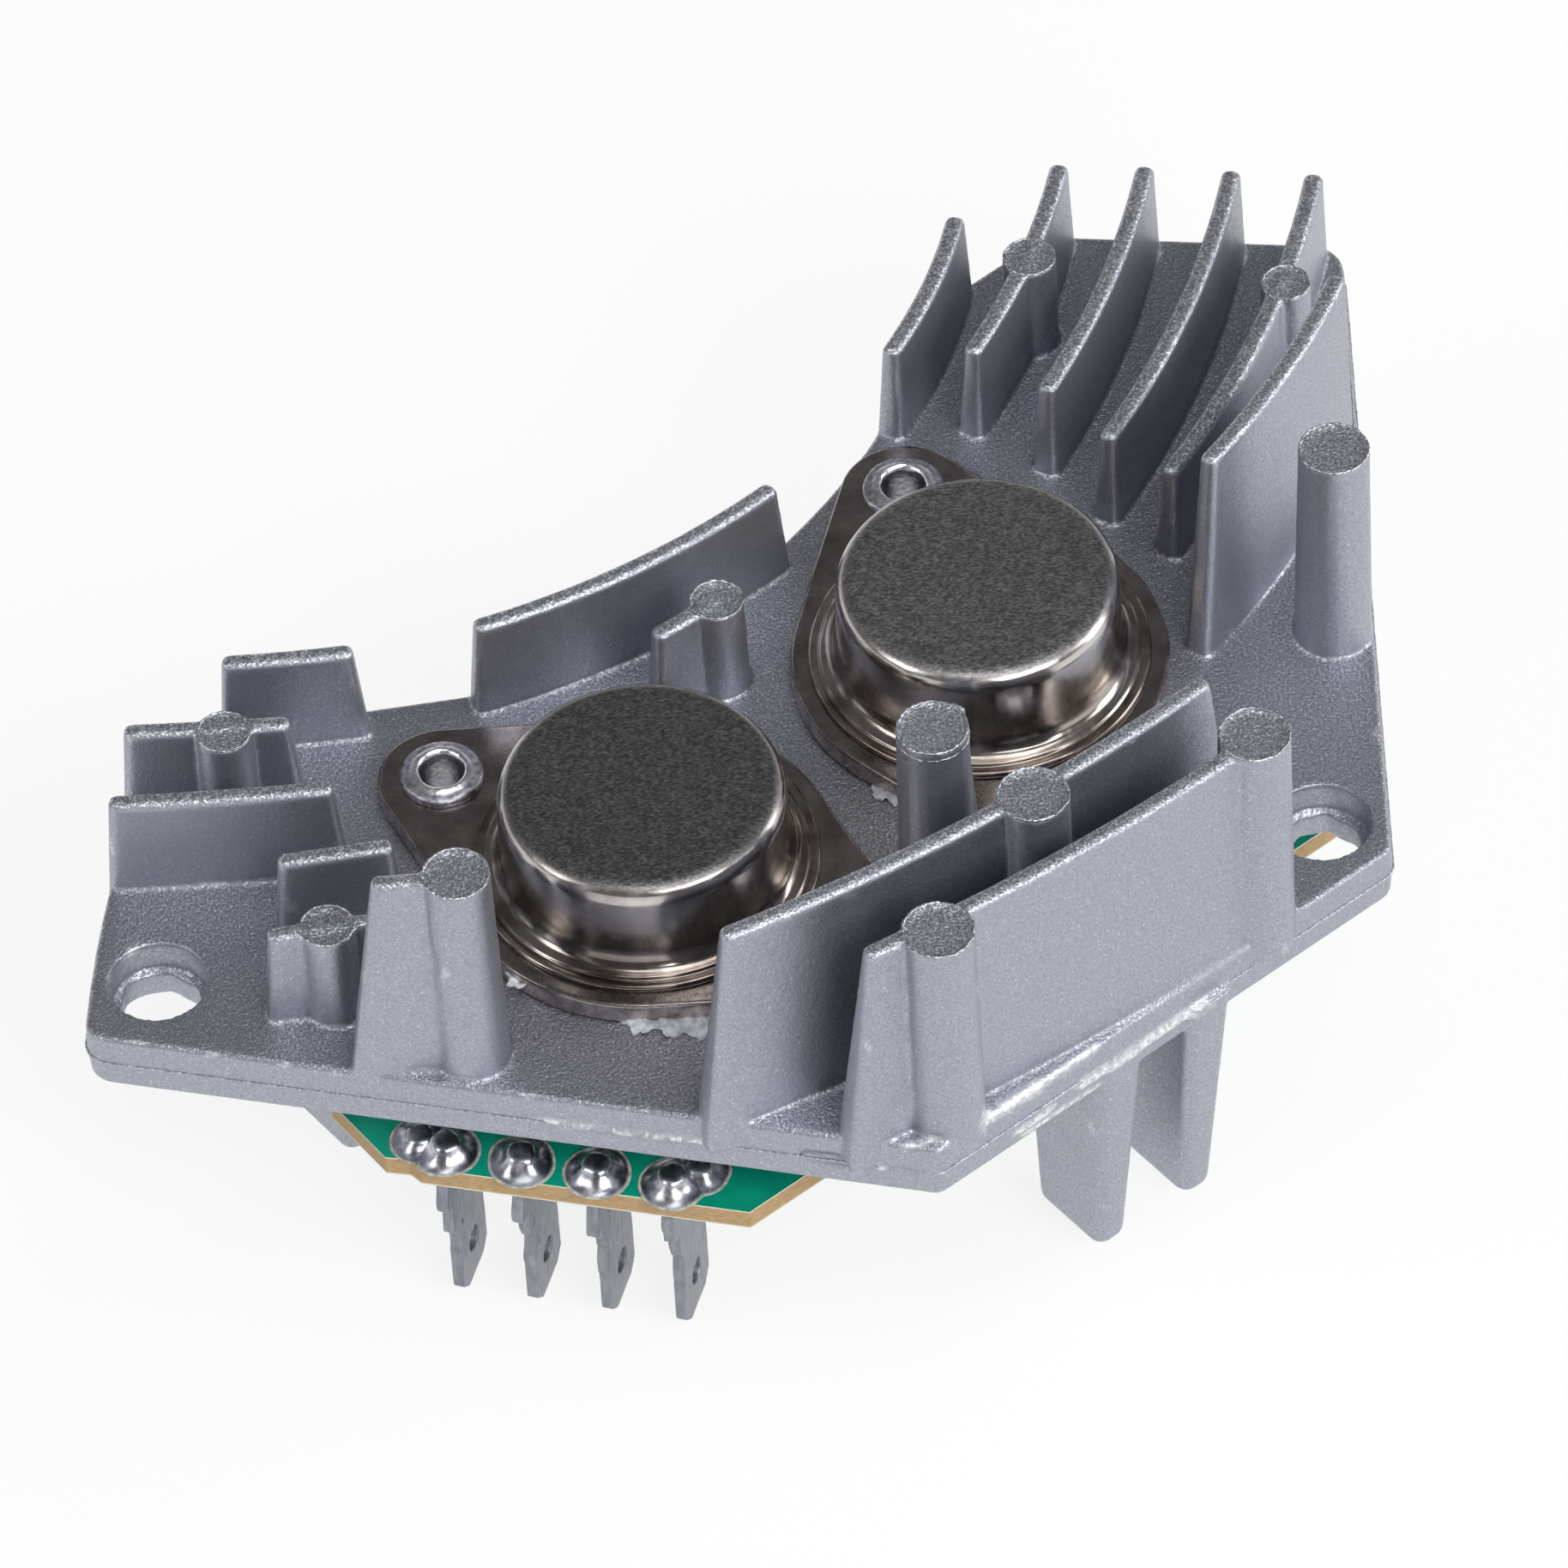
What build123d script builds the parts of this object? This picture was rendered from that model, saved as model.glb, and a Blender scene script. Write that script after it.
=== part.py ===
from build123d import *
import os
from math import atan2, cos, degrees, hypot, radians, sin, sqrt, tan

os.makedirs("parts", exist_ok=True)

# Millimetres. Z = 0 is the top face of the heat sink's plate, the fins stand up in +Z,
# and the origin is midway between the two mounting holes, which lie on the X axis.

# Plate of the heat sink
PLATE_T = 4.35
PARTING_Z = -2.1
PLATE_DRAFT = 4.0
PLATE_EDGE_R = 0.3
MOUNT_SPACING = 75.0
MOUNT_HOLE_R = 3.15

# Fins: two heights, one wall, drafted on their sides and at their ends
LOW_Z = 7.6
TALL_Z = 17.0
FIN_T = 1.3
FIN_SIDE_DRAFT = 2.1
FIN_END = 0.42
FIN_BACK = 0.22
FIN_ROOT_Z = -1.9
FIN_TOP_R = 0.45
FIN_CORNER_R = 0.52
FLUSH_OFFSET = 1.25

# Posts
POST_R_TALL = 2.3
POST_R_LOW = 1.78
POST_DRAFT = 0.9
POST_TOP_SINK = 0.12
POST_RIM = 0.22
POST_Z_LOW = 7.6
POST_Z_TALL = 17.1

# Legs under the plate
LEG_Z = -22.4
LEG_T = 2.5
LEG_LEN = 6.3
LEG_SIDE_DRAFT = 1.7
LEG_FRONT_DRAFT = 4.6
LEG_BACK_DRAFT = 1.5
LEG_TIP_R = 0.85
LEG_CORNER_R = 0.95
EDGE_ANGLE = 31.2

# Power transistors in the large two-pin metal can
HEADER_R = 12.33
HEADER_END_R = 4.2
HEADER_T = 1.55
COMPOUND_T = 0.06
RIVET_PITCH = 30.45
PIN_PITCH = 10.9
PIN_OFFSET = 1.9
PIN_R = 0.5
PIN_CLEAR_R = 1.7
PIN_TOP_Z = 4.2
PIN_BOTTOM_Z = -12.4
SEAL_R = 1.1
FLANGE_R = 11.18
FLANGE_T = 0.3
CAP_R = 9.24
CAP_TOP_Z = 8.82
CAP_T = 0.5
CAP_EDGE_R = 0.85
CAP_FOOT_R = 0.45
CHIP_SIZE = 6.4
CHIP_T = 0.5
SPREADER_SIZE = 8.2
SPREADER_T = 0.8
T1_X, T1_Y, T1_ANGLE = -5.65, 3.18, 141.9
T2_X, T2_Y, T2_ANGLE = 18.14, 17.14, 100.1

# Circuit board and what holds it
BOARD_Z = -9.5
BOARD_T = 1.6
BOSS_R = 4.0
BOSS_ROOT_R = 4.4
RIVET_R = 1.95
RIVET_BORE_R = 1.4
RIVET_CLEAR = 0.1
RIVET_FLANGE_R = 2.72
RIVET_FLANGE_H = 0.75
RIVET_FLARE_R = 2.6
RIVET_FLARE_H = 0.7

# Blade terminals
BLADE_T = 0.8
BLADE_W = 4.8
BLADE_SHOULDER_W = 5.7
BLADE_ROOT_W = 7.4
BLADE_ROOT_H = 2.7
BLADE_SHOULDER_H = 5.5
BLADE_LEN = 13.1
BLADE_TIP = 1.15
BLADE_HOLE_R = 0.9
BLADE_HOLE_H = 9.7
BLADE_PITCH = 4.93
BLADE_ROW_ANGLE = -20.8
BLADE_ANGLE = 65.0
BLADE_X, BLADE_Y = -19.85, -7.22
TAIL_W = 1.4
TAIL_PITCH = 4.4
TAIL_UP = 1.5
TAIL_CLEAR = 0.1
DOME_R = 1.85
DOME_H = 1.6

# Parts on the underside of the board
DRIVER_L, DRIVER_W, DRIVER_H = 8.7, 3.9, 1.6
LEAD_PITCH = 1.27
SENSE_L, SENSE_W, SENSE_H = 6.3, 3.2, 0.8
CHIP_R_L, CHIP_R_W, CHIP_R_H = 2.0, 1.25, 0.55
CAN_R, CAN_H = 3.15, 5.6
DIODE_L, DIODE_W, DIODE_H = 4.4, 2.7, 2.2

BOARD_BOTTOM = BOARD_Z - BOARD_T
HEADER_TOP = COMPOUND_T + HEADER_T


def at(x, y, angle=0.0, z=0.0):
    """A place on the object, turned about +Z."""
    return Pos(x, y, z) * Rot(0, 0, angle)


def arc_frame(start, end, bow):
    """Centre, radius and end angles of the arc from start to end that bows to its right."""
    dx = end[0] - start[0]
    dy = end[1] - start[1]
    chord = hypot(dx, dy)
    radius = (chord * chord / 4 + bow * bow) / (2 * bow)
    back = radius - bow
    mx = (start[0] + end[0]) / 2 - dy / chord * back
    my = (start[1] + end[1]) / 2 + dx / chord * back
    a0 = degrees(atan2(start[1] - my, start[0] - mx))
    a1 = degrees(atan2(end[1] - my, end[0] - mx))
    if a1 < a0:
        a1 += 360
    return mx, my, radius, a0, a1


def on_arc(frame, offset, angle):
    """Point at an angle on the fin's arc, set out from it by offset."""
    r = frame[2] + offset
    return (frame[0] + r * cos(radians(angle)), frame[1] + r * sin(radians(angle)))


def fin_section(frame, half, ext0, ext1, z):
    """Plan section of a fin at one level: two concentric arcs closed by two straight ends."""
    a0 = frame[3] - degrees(ext0 / frame[2])
    a1 = frame[4] + degrees(ext1 / frame[2])
    am = (a0 + a1) / 2
    outer = ThreePointArc(on_arc(frame, half, a0), on_arc(frame, half, am), on_arc(frame, half, a1))
    inner = ThreePointArc(on_arc(frame, -half, a1), on_arc(frame, -half, am), on_arc(frame, -half, a0))
    end1 = Line(on_arc(frame, half, a1), on_arc(frame, -half, a1))
    end0 = Line(on_arc(frame, -half, a0), on_arc(frame, half, a0))
    return Pos(0, 0, z) * make_face([outer, end1, inner, end0])


def fin(start, end, bow, top, draft0, draft1, side=FIN_SIDE_DRAFT):
    """Cast fin on an arc, given by the crest of its top edge, drafted all round."""
    cx, cy, radius, a0, a1 = arc_frame(start, end, bow)
    grow = degrees(FIN_END / radius)
    frame = (cx, cy, radius - FIN_BACK, a0 - grow, a1 + grow)
    thick = FIN_T
    height = top - FIN_ROOT_Z
    spread = height * tan(radians(side))
    low = fin_section(
        frame,
        thick / 2 + spread,
        height * tan(radians(draft0)),
        height * tan(radians(draft1)),
        FIN_ROOT_Z,
    )
    high = fin_section(frame, thick / 2, 0, 0, top)
    body = loft([low, high], ruled=True)
    corners = body.edges().filter_by(lambda e: abs(e.tangent_at(0.5).Z) > 0.9)
    body = fillet(corners, FIN_CORNER_R)
    rim = body.edges().filter_by(lambda e: abs(e.center().Z - top) < 0.01)
    return fillet(rim, FIN_TOP_R)


def post(x, y, top, radius):
    """Drafted round post whose flat top is sunk inside a thin rim."""
    height = top - FIN_ROOT_Z
    foot = radius + height * tan(radians(POST_DRAFT))
    profile = Polyline(
        (0, FIN_ROOT_Z),
        (foot, FIN_ROOT_Z),
        (radius, top),
        (radius - POST_RIM, top),
        (radius - POST_RIM, top - POST_TOP_SINK),
        (0, top - POST_TOP_SINK),
        close=True,
    )
    return Pos(x, y, 0) * revolve(Plane.XZ * make_face(profile), Axis.Z)


def leg(x, y):
    """Leg that runs square in from the plate's front right side; x, y is its tip's front end."""
    height = FIN_ROOT_Z - LEG_Z
    grow = height * tan(radians(LEG_SIDE_DRAFT))
    front = height * tan(radians(LEG_FRONT_DRAFT))
    rear = height * tan(radians(LEG_BACK_DRAFT))
    tip = Pos(0, 0, LEG_Z) * Rectangle(LEG_LEN, LEG_T, align=(Align.MIN, Align.CENTER))
    root = Pos(-front, 0, LEG_Z + height) * Rectangle(
        LEG_LEN + front + rear, LEG_T + 2 * grow, align=(Align.MIN, Align.CENTER)
    )
    body = loft([tip, root], ruled=True)
    uprights = body.edges().filter_by(lambda e: abs(e.tangent_at(0.5).Z) > 0.9)
    body = fillet(uprights, LEG_CORNER_R)
    rim = body.edges().filter_by(lambda e: abs(e.center().Z - LEG_Z) < 0.01)
    body = fillet(rim, LEG_TIP_R)
    return at(x, y, EDGE_ANGLE + 90) * body


# Heat sink: plate, curved fins, posts and legs, cast in one piece

# Fins: start, end and bow of the top edge, top level, draft at the two ends
FINS = {
    "left_1": ((-30.27, 19.45), (-22.66, 18.98), 0.08, LOW_Z, 4.5, 4.5),
    "left_2": ((-37.10, 14.62), (-27.38, 13.58), 0.05, LOW_Z, 4.5, 4.5),
    "left_3": ((-38.68, 8.72), (-25.31, 7.55), 0.08, LOW_Z, 4.5, 4.5),
    "left_4": ((-28.59, 1.93), (-22.14, 2.00), 0.02, LOW_Z, 4.5, 4.5),
    "left_5": ((-29.92, -4.10), (-21.60, -3.95), 0.03, LOW_Z, 4.5, 4.5),
    "left_6": ((-23.35, -9.28), (-18.51, -9.60), 0.05, TALL_Z, 8.0, 0.5),
    "middle_1": ((-13.82, 19.75), (6.25, 28.23), 1.07, LOW_Z, 4.5, 4.5),
    "middle_2": ((-2.49, 16.98), (1.42, 19.16), 0.05, LOW_Z, 4.5, 0.5),
    "right_1": ((16.18, 39.36), (22.20, 50.49), 0.45, LOW_Z, 4.5, 4.5),
    "right_2": ((21.47, 38.45), (29.82, 54.09), 0.63, LOW_Z, 4.5, 2.0),
    "right_3": ((25.74, 34.15), (35.44, 52.87), 0.73, LOW_Z, 4.5, 2.0),
    "right_4": ((28.99, 29.11), (41.06, 51.40), 1.00, LOW_Z, 4.5, 2.0),
    "right_5": ((32.48, 25.32), (46.41, 50.06), 1.23, LOW_Z, 4.5, 2.0),
    "right_6": ((33.56, 17.01), (44.38, 31.23), 0.61, TALL_Z, 5.0, 4.0, 1.0),
    "front_1": ((-2.58, -17.18), (29.56, -2.10), 1.20, TALL_Z, 7.0, 6.0),
    "front_2": ((5.88, -20.26), (31.20, -7.80), 0.66, TALL_Z, 7.0, 0.5),
}

# Posts: centre, top level, top radius
POSTS = {
    "a": (-18.51, -9.45, POST_Z_TALL, 2.15),
    "b": (41.25, 16.24, POST_Z_TALL, POST_R_TALL),
    "c": (31.91, -6.96, POST_Z_TALL, POST_R_TALL),
    "d": (10.05, -19.30, POST_Z_TALL, POST_R_TALL),
    "e": (12.30, -2.81, POST_Z_TALL, POST_R_TALL),
    "f": (17.58, -9.38, POST_Z_TALL, POST_R_TALL),
    "g": (1.42, 19.16, POST_Z_LOW, POST_R_LOW),
    "h": (26.28, 46.12, POST_Z_LOW, POST_R_LOW),
    "i": (42.59, 40.63, POST_Z_LOW, 1.65),
    "j": (-31.19, 13.54, POST_Z_LOW, POST_R_LOW),
    "k": (-26.56, -3.94, POST_Z_LOW, POST_R_LOW),
}

# Tips of the three legs, at the front end of each
LEGS = [(21.35, -13.75), (27.5, -10.45), (-25.5, 2.75)]

# Plan of the plate at its parting line; it runs flush with the outer faces of two fins
middle_arc = arc_frame(*FINS["middle_1"][:3])
right_arc = arc_frame(*FINS["right_1"][:3])
m0 = on_arc(middle_arc, -FLUSH_OFFSET, middle_arc[3])
mm = on_arc(middle_arc, -FLUSH_OFFSET, (middle_arc[3] + middle_arc[4]) / 2)
m1 = on_arc(middle_arc, -FLUSH_OFFSET, middle_arc[4])
r0 = on_arc(right_arc, -FLUSH_OFFSET, right_arc[3])
rm = on_arc(right_arc, -FLUSH_OFFSET, (right_arc[3] + right_arc[4]) / 2)
r1 = on_arc(right_arc, -FLUSH_OFFSET, right_arc[4])

front_left = (-42.75, -3.9)
front_tip = (9.1, -22.8)
right_corner = (41.55, -3.3)
back_right = (48.45, 50.95)
back_left = (28.6, 55.6)

outline = [
    Line(front_left, front_tip),
    Line(front_tip, right_corner),
    Line(right_corner, back_right),
    Line(back_right, back_left),
    Line(back_left, (23.3, 52.2)),
    Line((23.3, 52.2), r1),
    ThreePointArc(r1, rm, r0),
    ThreePointArc(r0, (10.5, 34.05), m1),
    ThreePointArc(m1, mm, m0),
    Line(m0, (-15.2, 20.95)),
    Line((-15.2, 20.95), (-31.4, 20.75)),
    Line((-31.4, 20.75), (-38.35, 15.6)),
    Line((-38.35, 15.6), (-39.5, 9.7)),
    ThreePointArc((-39.5, 9.7), (-41.35, 3.05), front_left),
]
plan = make_face(outline)
for corner, radius in [
    (front_left, 1.8),
    (front_tip, 1.0),
    (right_corner, 1.5),
    (back_right, 2.6),
    (back_left, 1.2),
]:
    vertex = plan.vertices().sort_by_distance(corner)[0]
    plan = fillet(vertex, radius)

parting_plan = Pos(0, 0, PARTING_Z) * plan
upper = extrude(parting_plan, amount=-PARTING_Z, taper=PLATE_DRAFT)
lower = extrude(parting_plan, amount=-(PLATE_T + PARTING_Z), taper=PLATE_DRAFT)
plate = upper + lower
top_rim = plate.edges().filter_by(lambda e: abs(e.center().Z) < 0.01)
bottom_rim = plate.edges().filter_by(lambda e: abs(e.center().Z + PLATE_T) < 0.01)
plate = fillet(top_rim + bottom_rim, PLATE_EDGE_R)

T1 = at(T1_X, T1_Y, T1_ANGLE)
T2 = at(T2_X, T2_Y, T2_ANGLE)
RIVETS = [T * Pos(s * RIVET_PITCH / 2, 0, 0) for T in (T1, T2) for s in (-1, 1)]
PINS = [T * Pos(PIN_OFFSET, s * PIN_PITCH / 2, 0) for T in (T1, T2) for s in (-1, 1)]

boss_h = -BOARD_Z - PLATE_T + 1.0
boss = Pos(0, 0, BOARD_Z) * Cone(
    BOSS_R, BOSS_ROOT_R, boss_h, align=(Align.CENTER, Align.CENTER, Align.MIN)
)

heat_sink = plate
for name in FINS:
    heat_sink = heat_sink + fin(*FINS[name])
for name in POSTS:
    heat_sink = heat_sink + post(*POSTS[name])
for place in LEGS:
    heat_sink = heat_sink + leg(*place)
for place in RIVETS:
    heat_sink = heat_sink + place * boss

through = 2 * (PLATE_T - BOARD_Z)
for place in RIVETS:
    heat_sink = heat_sink - place * Cylinder(RIVET_R + RIVET_CLEAR, through)
for place in PINS:
    heat_sink = heat_sink - place * Cylinder(PIN_CLEAR_R, through)
for side in (-1, 1):
    hole = Pos(side * MOUNT_SPACING / 2, 0, 0) * Cylinder(MOUNT_HOLE_R, 3 * PLATE_T)
    heat_sink = heat_sink - hole

export_step(heat_sink, "parts/heat_sink.step")


# Transistors: header, drawn cap, chip on its spreader, two sealed pins


def header_plan():
    """Two-lobed plan of the header: a disc with an ear at each rivet."""
    disc = Circle(HEADER_R)
    half = RIVET_PITCH / 2
    ears = Pos(-half, 0, 0) * Circle(HEADER_END_R) + Pos(half, 0, 0) * Circle(HEADER_END_R)
    lean = (HEADER_R - HEADER_END_R) / half
    side = sqrt(1 - lean * lean)
    web = Polyline(
        (HEADER_R * lean, HEADER_R * side),
        (half + HEADER_END_R * lean, HEADER_END_R * side),
        (half + HEADER_END_R * lean, -HEADER_END_R * side),
        (HEADER_R * lean, -HEADER_R * side),
        (-HEADER_R * lean, -HEADER_R * side),
        (-half - HEADER_END_R * lean, -HEADER_END_R * side),
        (-half - HEADER_END_R * lean, HEADER_END_R * side),
        (-HEADER_R * lean, HEADER_R * side),
        close=True,
    )
    return disc + ears + make_face(web)


half_pitch = RIVET_PITCH / 2
rivet_spots = [(-half_pitch, 0), (half_pitch, 0)]
pin_spots = [(PIN_OFFSET, -PIN_PITCH / 2), (PIN_OFFSET, PIN_PITCH / 2)]

compound_plan = offset(header_plan(), -0.3)
for x, y in rivet_spots:
    compound_plan = compound_plan - Pos(x, y, 0) * Circle(RIVET_R + RIVET_CLEAR + 0.3)
for x, y in pin_spots:
    compound_plan = compound_plan - Pos(x, y, 0) * Circle(PIN_CLEAR_R)
compound = extrude(compound_plan, amount=COMPOUND_T)

header = Pos(0, 0, COMPOUND_T) * extrude(header_plan(), amount=HEADER_T)
header_rim = header.edges().filter_by(lambda e: abs(e.center().Z - HEADER_TOP) < 0.01)
header = fillet(header_rim, 0.2)
for x, y in rivet_spots:
    header = header - Pos(x, y, 0) * Cylinder(RIVET_R + RIVET_CLEAR, 4 * HEADER_T)
for x, y in pin_spots:
    header = header - Pos(x, y, 0) * Cylinder(SEAL_R, 4 * HEADER_T)

seal_ring = Pos(0, 0, COMPOUND_T) * Cylinder(
    SEAL_R, HEADER_T, align=(Align.CENTER, Align.CENTER, Align.MIN)
) - Cylinder(PIN_R, 4 * HEADER_T)
seals = [Pos(x, y, 0) * seal_ring for x, y in pin_spots]

pin = Pos(0, 0, PIN_BOTTOM_Z) * Cylinder(
    PIN_R, PIN_TOP_Z - PIN_BOTTOM_Z, align=(Align.CENTER, Align.CENTER, Align.MIN)
)
pins = [Pos(x, y, 0) * pin for x, y in pin_spots]

spreader = Pos(-3.2, 0, HEADER_TOP) * Box(
    SPREADER_SIZE, SPREADER_SIZE, SPREADER_T, align=(Align.CENTER, Align.CENTER, Align.MIN)
)
chip = Pos(-3.2, 0, HEADER_TOP + SPREADER_T) * Box(
    CHIP_SIZE, CHIP_SIZE, CHIP_T, align=(Align.CENTER, Align.CENTER, Align.MIN)
)

foot_r = CAP_R + CAP_FOOT_R
cap_floor = HEADER_TOP + FLANGE_T
wall_top = CAP_TOP_Z - CAP_EDGE_R
turn = sqrt(0.5)
cap_profile = make_face(
    [
        Line((CAP_R - CAP_T, HEADER_TOP), (FLANGE_R, HEADER_TOP)),
        Line((FLANGE_R, HEADER_TOP), (FLANGE_R, cap_floor)),
        Line((FLANGE_R, cap_floor), (foot_r, cap_floor)),
        ThreePointArc(
            (foot_r, cap_floor),
            (foot_r - CAP_FOOT_R * turn, cap_floor + CAP_FOOT_R * (1 - turn)),
            (CAP_R, cap_floor + CAP_FOOT_R),
        ),
        Line((CAP_R, cap_floor + CAP_FOOT_R), (CAP_R, wall_top)),
        ThreePointArc(
            (CAP_R, wall_top),
            (CAP_R - CAP_EDGE_R * (1 - turn), wall_top + CAP_EDGE_R * turn),
            (CAP_R - CAP_EDGE_R, CAP_TOP_Z),
        ),
        Line((CAP_R - CAP_EDGE_R, CAP_TOP_Z), (0, CAP_TOP_Z)),
        Line((0, CAP_TOP_Z), (0, CAP_TOP_Z - CAP_T)),
        Line((0, CAP_TOP_Z - CAP_T), (CAP_R - CAP_T, CAP_TOP_Z - CAP_T)),
        Line((CAP_R - CAP_T, CAP_TOP_Z - CAP_T), (CAP_R - CAP_T, HEADER_TOP)),
    ]
)
cap = revolve(Plane.XZ * cap_profile, Axis.Z)

for number, place in ((1, T1), (2, T2)):
    export_step(place * compound, f"parts/thermal_compound_{number}.step")
    export_step(place * header, f"parts/transistor_header_{number}.step")
    export_step(Compound([place * s for s in seals]), f"parts/pin_seals_{number}.step")
    export_step(Compound([place * p for p in pins]), f"parts/transistor_pins_{number}.step")
    export_step(place * spreader, f"parts/chip_spreader_{number}.step")
    export_step(place * chip, f"parts/transistor_chip_{number}.step")
    export_step(place * cap, f"parts/transistor_cap_{number}.step")


# Circuit board, cut out round the left leg, and its eyelet rivets

board_front_left = (-24.70, -9.04)
board_outline = [
    board_front_left,
    (-23.16, -9.53),
    (-22.59, -10.30),
    (-2.48, -17.63),
    (40.6, 8.45),
    (41.9, 14.5),
    (22.6, 36.2),
    (14.6, 37.0),
    (11.0, 32.6),
    (4.6, 26.4),
    (-7.5, 19.9),
    (-24.0, 19.2),
    (-27.6, 14.4),
    (-21.9, 3.95),
    (-23.4, -1.6),
    (-27.6, -3.9),
]
board = extrude(make_face(Polyline(*board_outline, close=True)), amount=BOARD_T)
board = Pos(0, 0, BOARD_BOTTOM) * board

rivet_top = HEADER_TOP + RIVET_FLANGE_H
rivet_end = BOARD_BOTTOM - RIVET_FLARE_H
rivet_profile = make_face(
    [
        Line((RIVET_BORE_R, rivet_end), (RIVET_BORE_R, rivet_top - 0.35)),
        ThreePointArc(
            (RIVET_BORE_R, rivet_top - 0.35),
            (RIVET_BORE_R + 0.1, rivet_top - 0.1),
            (RIVET_BORE_R + 0.35, rivet_top),
        ),
        Line((RIVET_BORE_R + 0.35, rivet_top), (RIVET_FLANGE_R - 0.5, rivet_top - 0.1)),
        ThreePointArc(
            (RIVET_FLANGE_R - 0.5, rivet_top - 0.1),
            (RIVET_FLANGE_R - 0.12, rivet_top - 0.3),
            (RIVET_FLANGE_R, HEADER_TOP),
        ),
        Line((RIVET_FLANGE_R, HEADER_TOP), (RIVET_R, HEADER_TOP)),
        Line((RIVET_R, HEADER_TOP), (RIVET_R, BOARD_BOTTOM)),
        Line((RIVET_R, BOARD_BOTTOM), (RIVET_FLARE_R, BOARD_BOTTOM)),
        ThreePointArc(
            (RIVET_FLARE_R, BOARD_BOTTOM),
            (RIVET_FLARE_R - 0.15, rivet_end + 0.15),
            (RIVET_FLARE_R - 0.5, rivet_end),
        ),
        Line((RIVET_FLARE_R - 0.5, rivet_end), (RIVET_BORE_R, rivet_end)),
    ]
)
rivet = revolve(Plane.XZ * rivet_profile, Axis.Z)
for place in RIVETS:
    board = board - place * Cylinder(RIVET_R + RIVET_CLEAR, through)
for place in PINS:
    board = board - place * Cylinder(PIN_R + RIVET_CLEAR, through)
export_step(Compound([place * rivet for place in RIVETS]), "parts/eyelet_rivets.step")


# Blade terminals: stamped blades with two stepped shoulders and two solder tails

half_root = BLADE_ROOT_W / 2
half_shoulder = BLADE_SHOULDER_W / 2
half_blade = BLADE_W / 2
blade_side = [
    (half_root, 0),
    (half_root, -BLADE_ROOT_H),
    (half_shoulder, -BLADE_ROOT_H - 0.35),
    (half_shoulder, -BLADE_SHOULDER_H),
    (half_blade, -BLADE_SHOULDER_H - 0.35),
    (half_blade, -BLADE_LEN + BLADE_TIP),
    (half_blade - BLADE_TIP, -BLADE_LEN),
]
blade_plan = make_face(
    Polyline(*blade_side, *[(-u, v) for u, v in reversed(blade_side)], close=True)
)
tail_up = BOARD_T + TAIL_UP
for side in (-1, 1):
    tail = Rectangle(TAIL_W, tail_up, align=(Align.CENTER, Align.MIN))
    blade_plan = blade_plan + Pos(side * TAIL_PITCH / 2, 0) * tail
blade_plan = blade_plan - Pos(0, -BLADE_HOLE_H) * Circle(BLADE_HOLE_R)
blade_flat = extrude(Plane.XZ * blade_plan, amount=BLADE_T / 2, both=True)
tip_edges = blade_flat.edges().filter_by(
    lambda e: abs(e.center().Z + BLADE_LEN) < 0.01 and abs(e.tangent_at(0.5).X) > 0.9
)
blade = chamfer(tip_edges, 0.28)

blade_places = []
for n in range(4):
    along = n * BLADE_PITCH
    x = BLADE_X + along * cos(radians(BLADE_ROW_ANGLE))
    y = BLADE_Y + along * sin(radians(BLADE_ROW_ANGLE))
    blade_places.append(at(x, y, BLADE_ANGLE, BOARD_BOTTOM))

dome_profile = make_face(
    [
        Line((0, 0), (DOME_R, 0)),
        ThreePointArc((DOME_R, 0), (DOME_R * 0.72, DOME_H * 0.62), (0.35, DOME_H)),
        Line((0.35, DOME_H), (0, DOME_H)),
        Line((0, DOME_H), (0, 0)),
    ]
)
dome = revolve(Plane.XZ * dome_profile, Axis.Z)
slot_w = TAIL_W + 2 * TAIL_CLEAR
slot_t = BLADE_T + 2 * TAIL_CLEAR
domes = []
for n, place in enumerate(blade_places, 1):
    export_step(place * blade, f"parts/blade_terminal_{n}.step")
    for side in (-1, 1):
        spot = place * Pos(side * TAIL_PITCH / 2, 0, 0)
        board = board - spot * Box(slot_w, slot_t, 4 * BOARD_T)
        tail_box = Box(TAIL_W, BLADE_T, 4 * tail_up)
        domes.append(spot * Pos(0, 0, BOARD_T) * dome - spot * tail_box)
export_step(Compound([d.solids()[0] for d in domes]), "parts/terminal_solder.step")
export_step(board, "parts/circuit_board.step")

fillet_profile = make_face(
    [
        Line((PIN_R, 0), (1.5, 0)),
        ThreePointArc((1.5, 0), (0.85, -0.4), (PIN_R, -1.1)),
        Line((PIN_R, -1.1), (PIN_R, 0)),
    ]
)
pin_joint = Pos(0, 0, BOARD_BOTTOM) * revolve(Plane.XZ * fillet_profile, Axis.Z)
export_step(Compound([place * pin_joint for place in PINS]), "parts/pin_solder.step")


# Parts on the underside of the board


def under(x, y, angle=0.0):
    """A place on the board's underside, with +Z pointing away from the board."""
    return Pos(x, y, BOARD_BOTTOM) * Rot(0, 0, angle) * Rot(180, 0, 0)


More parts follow.
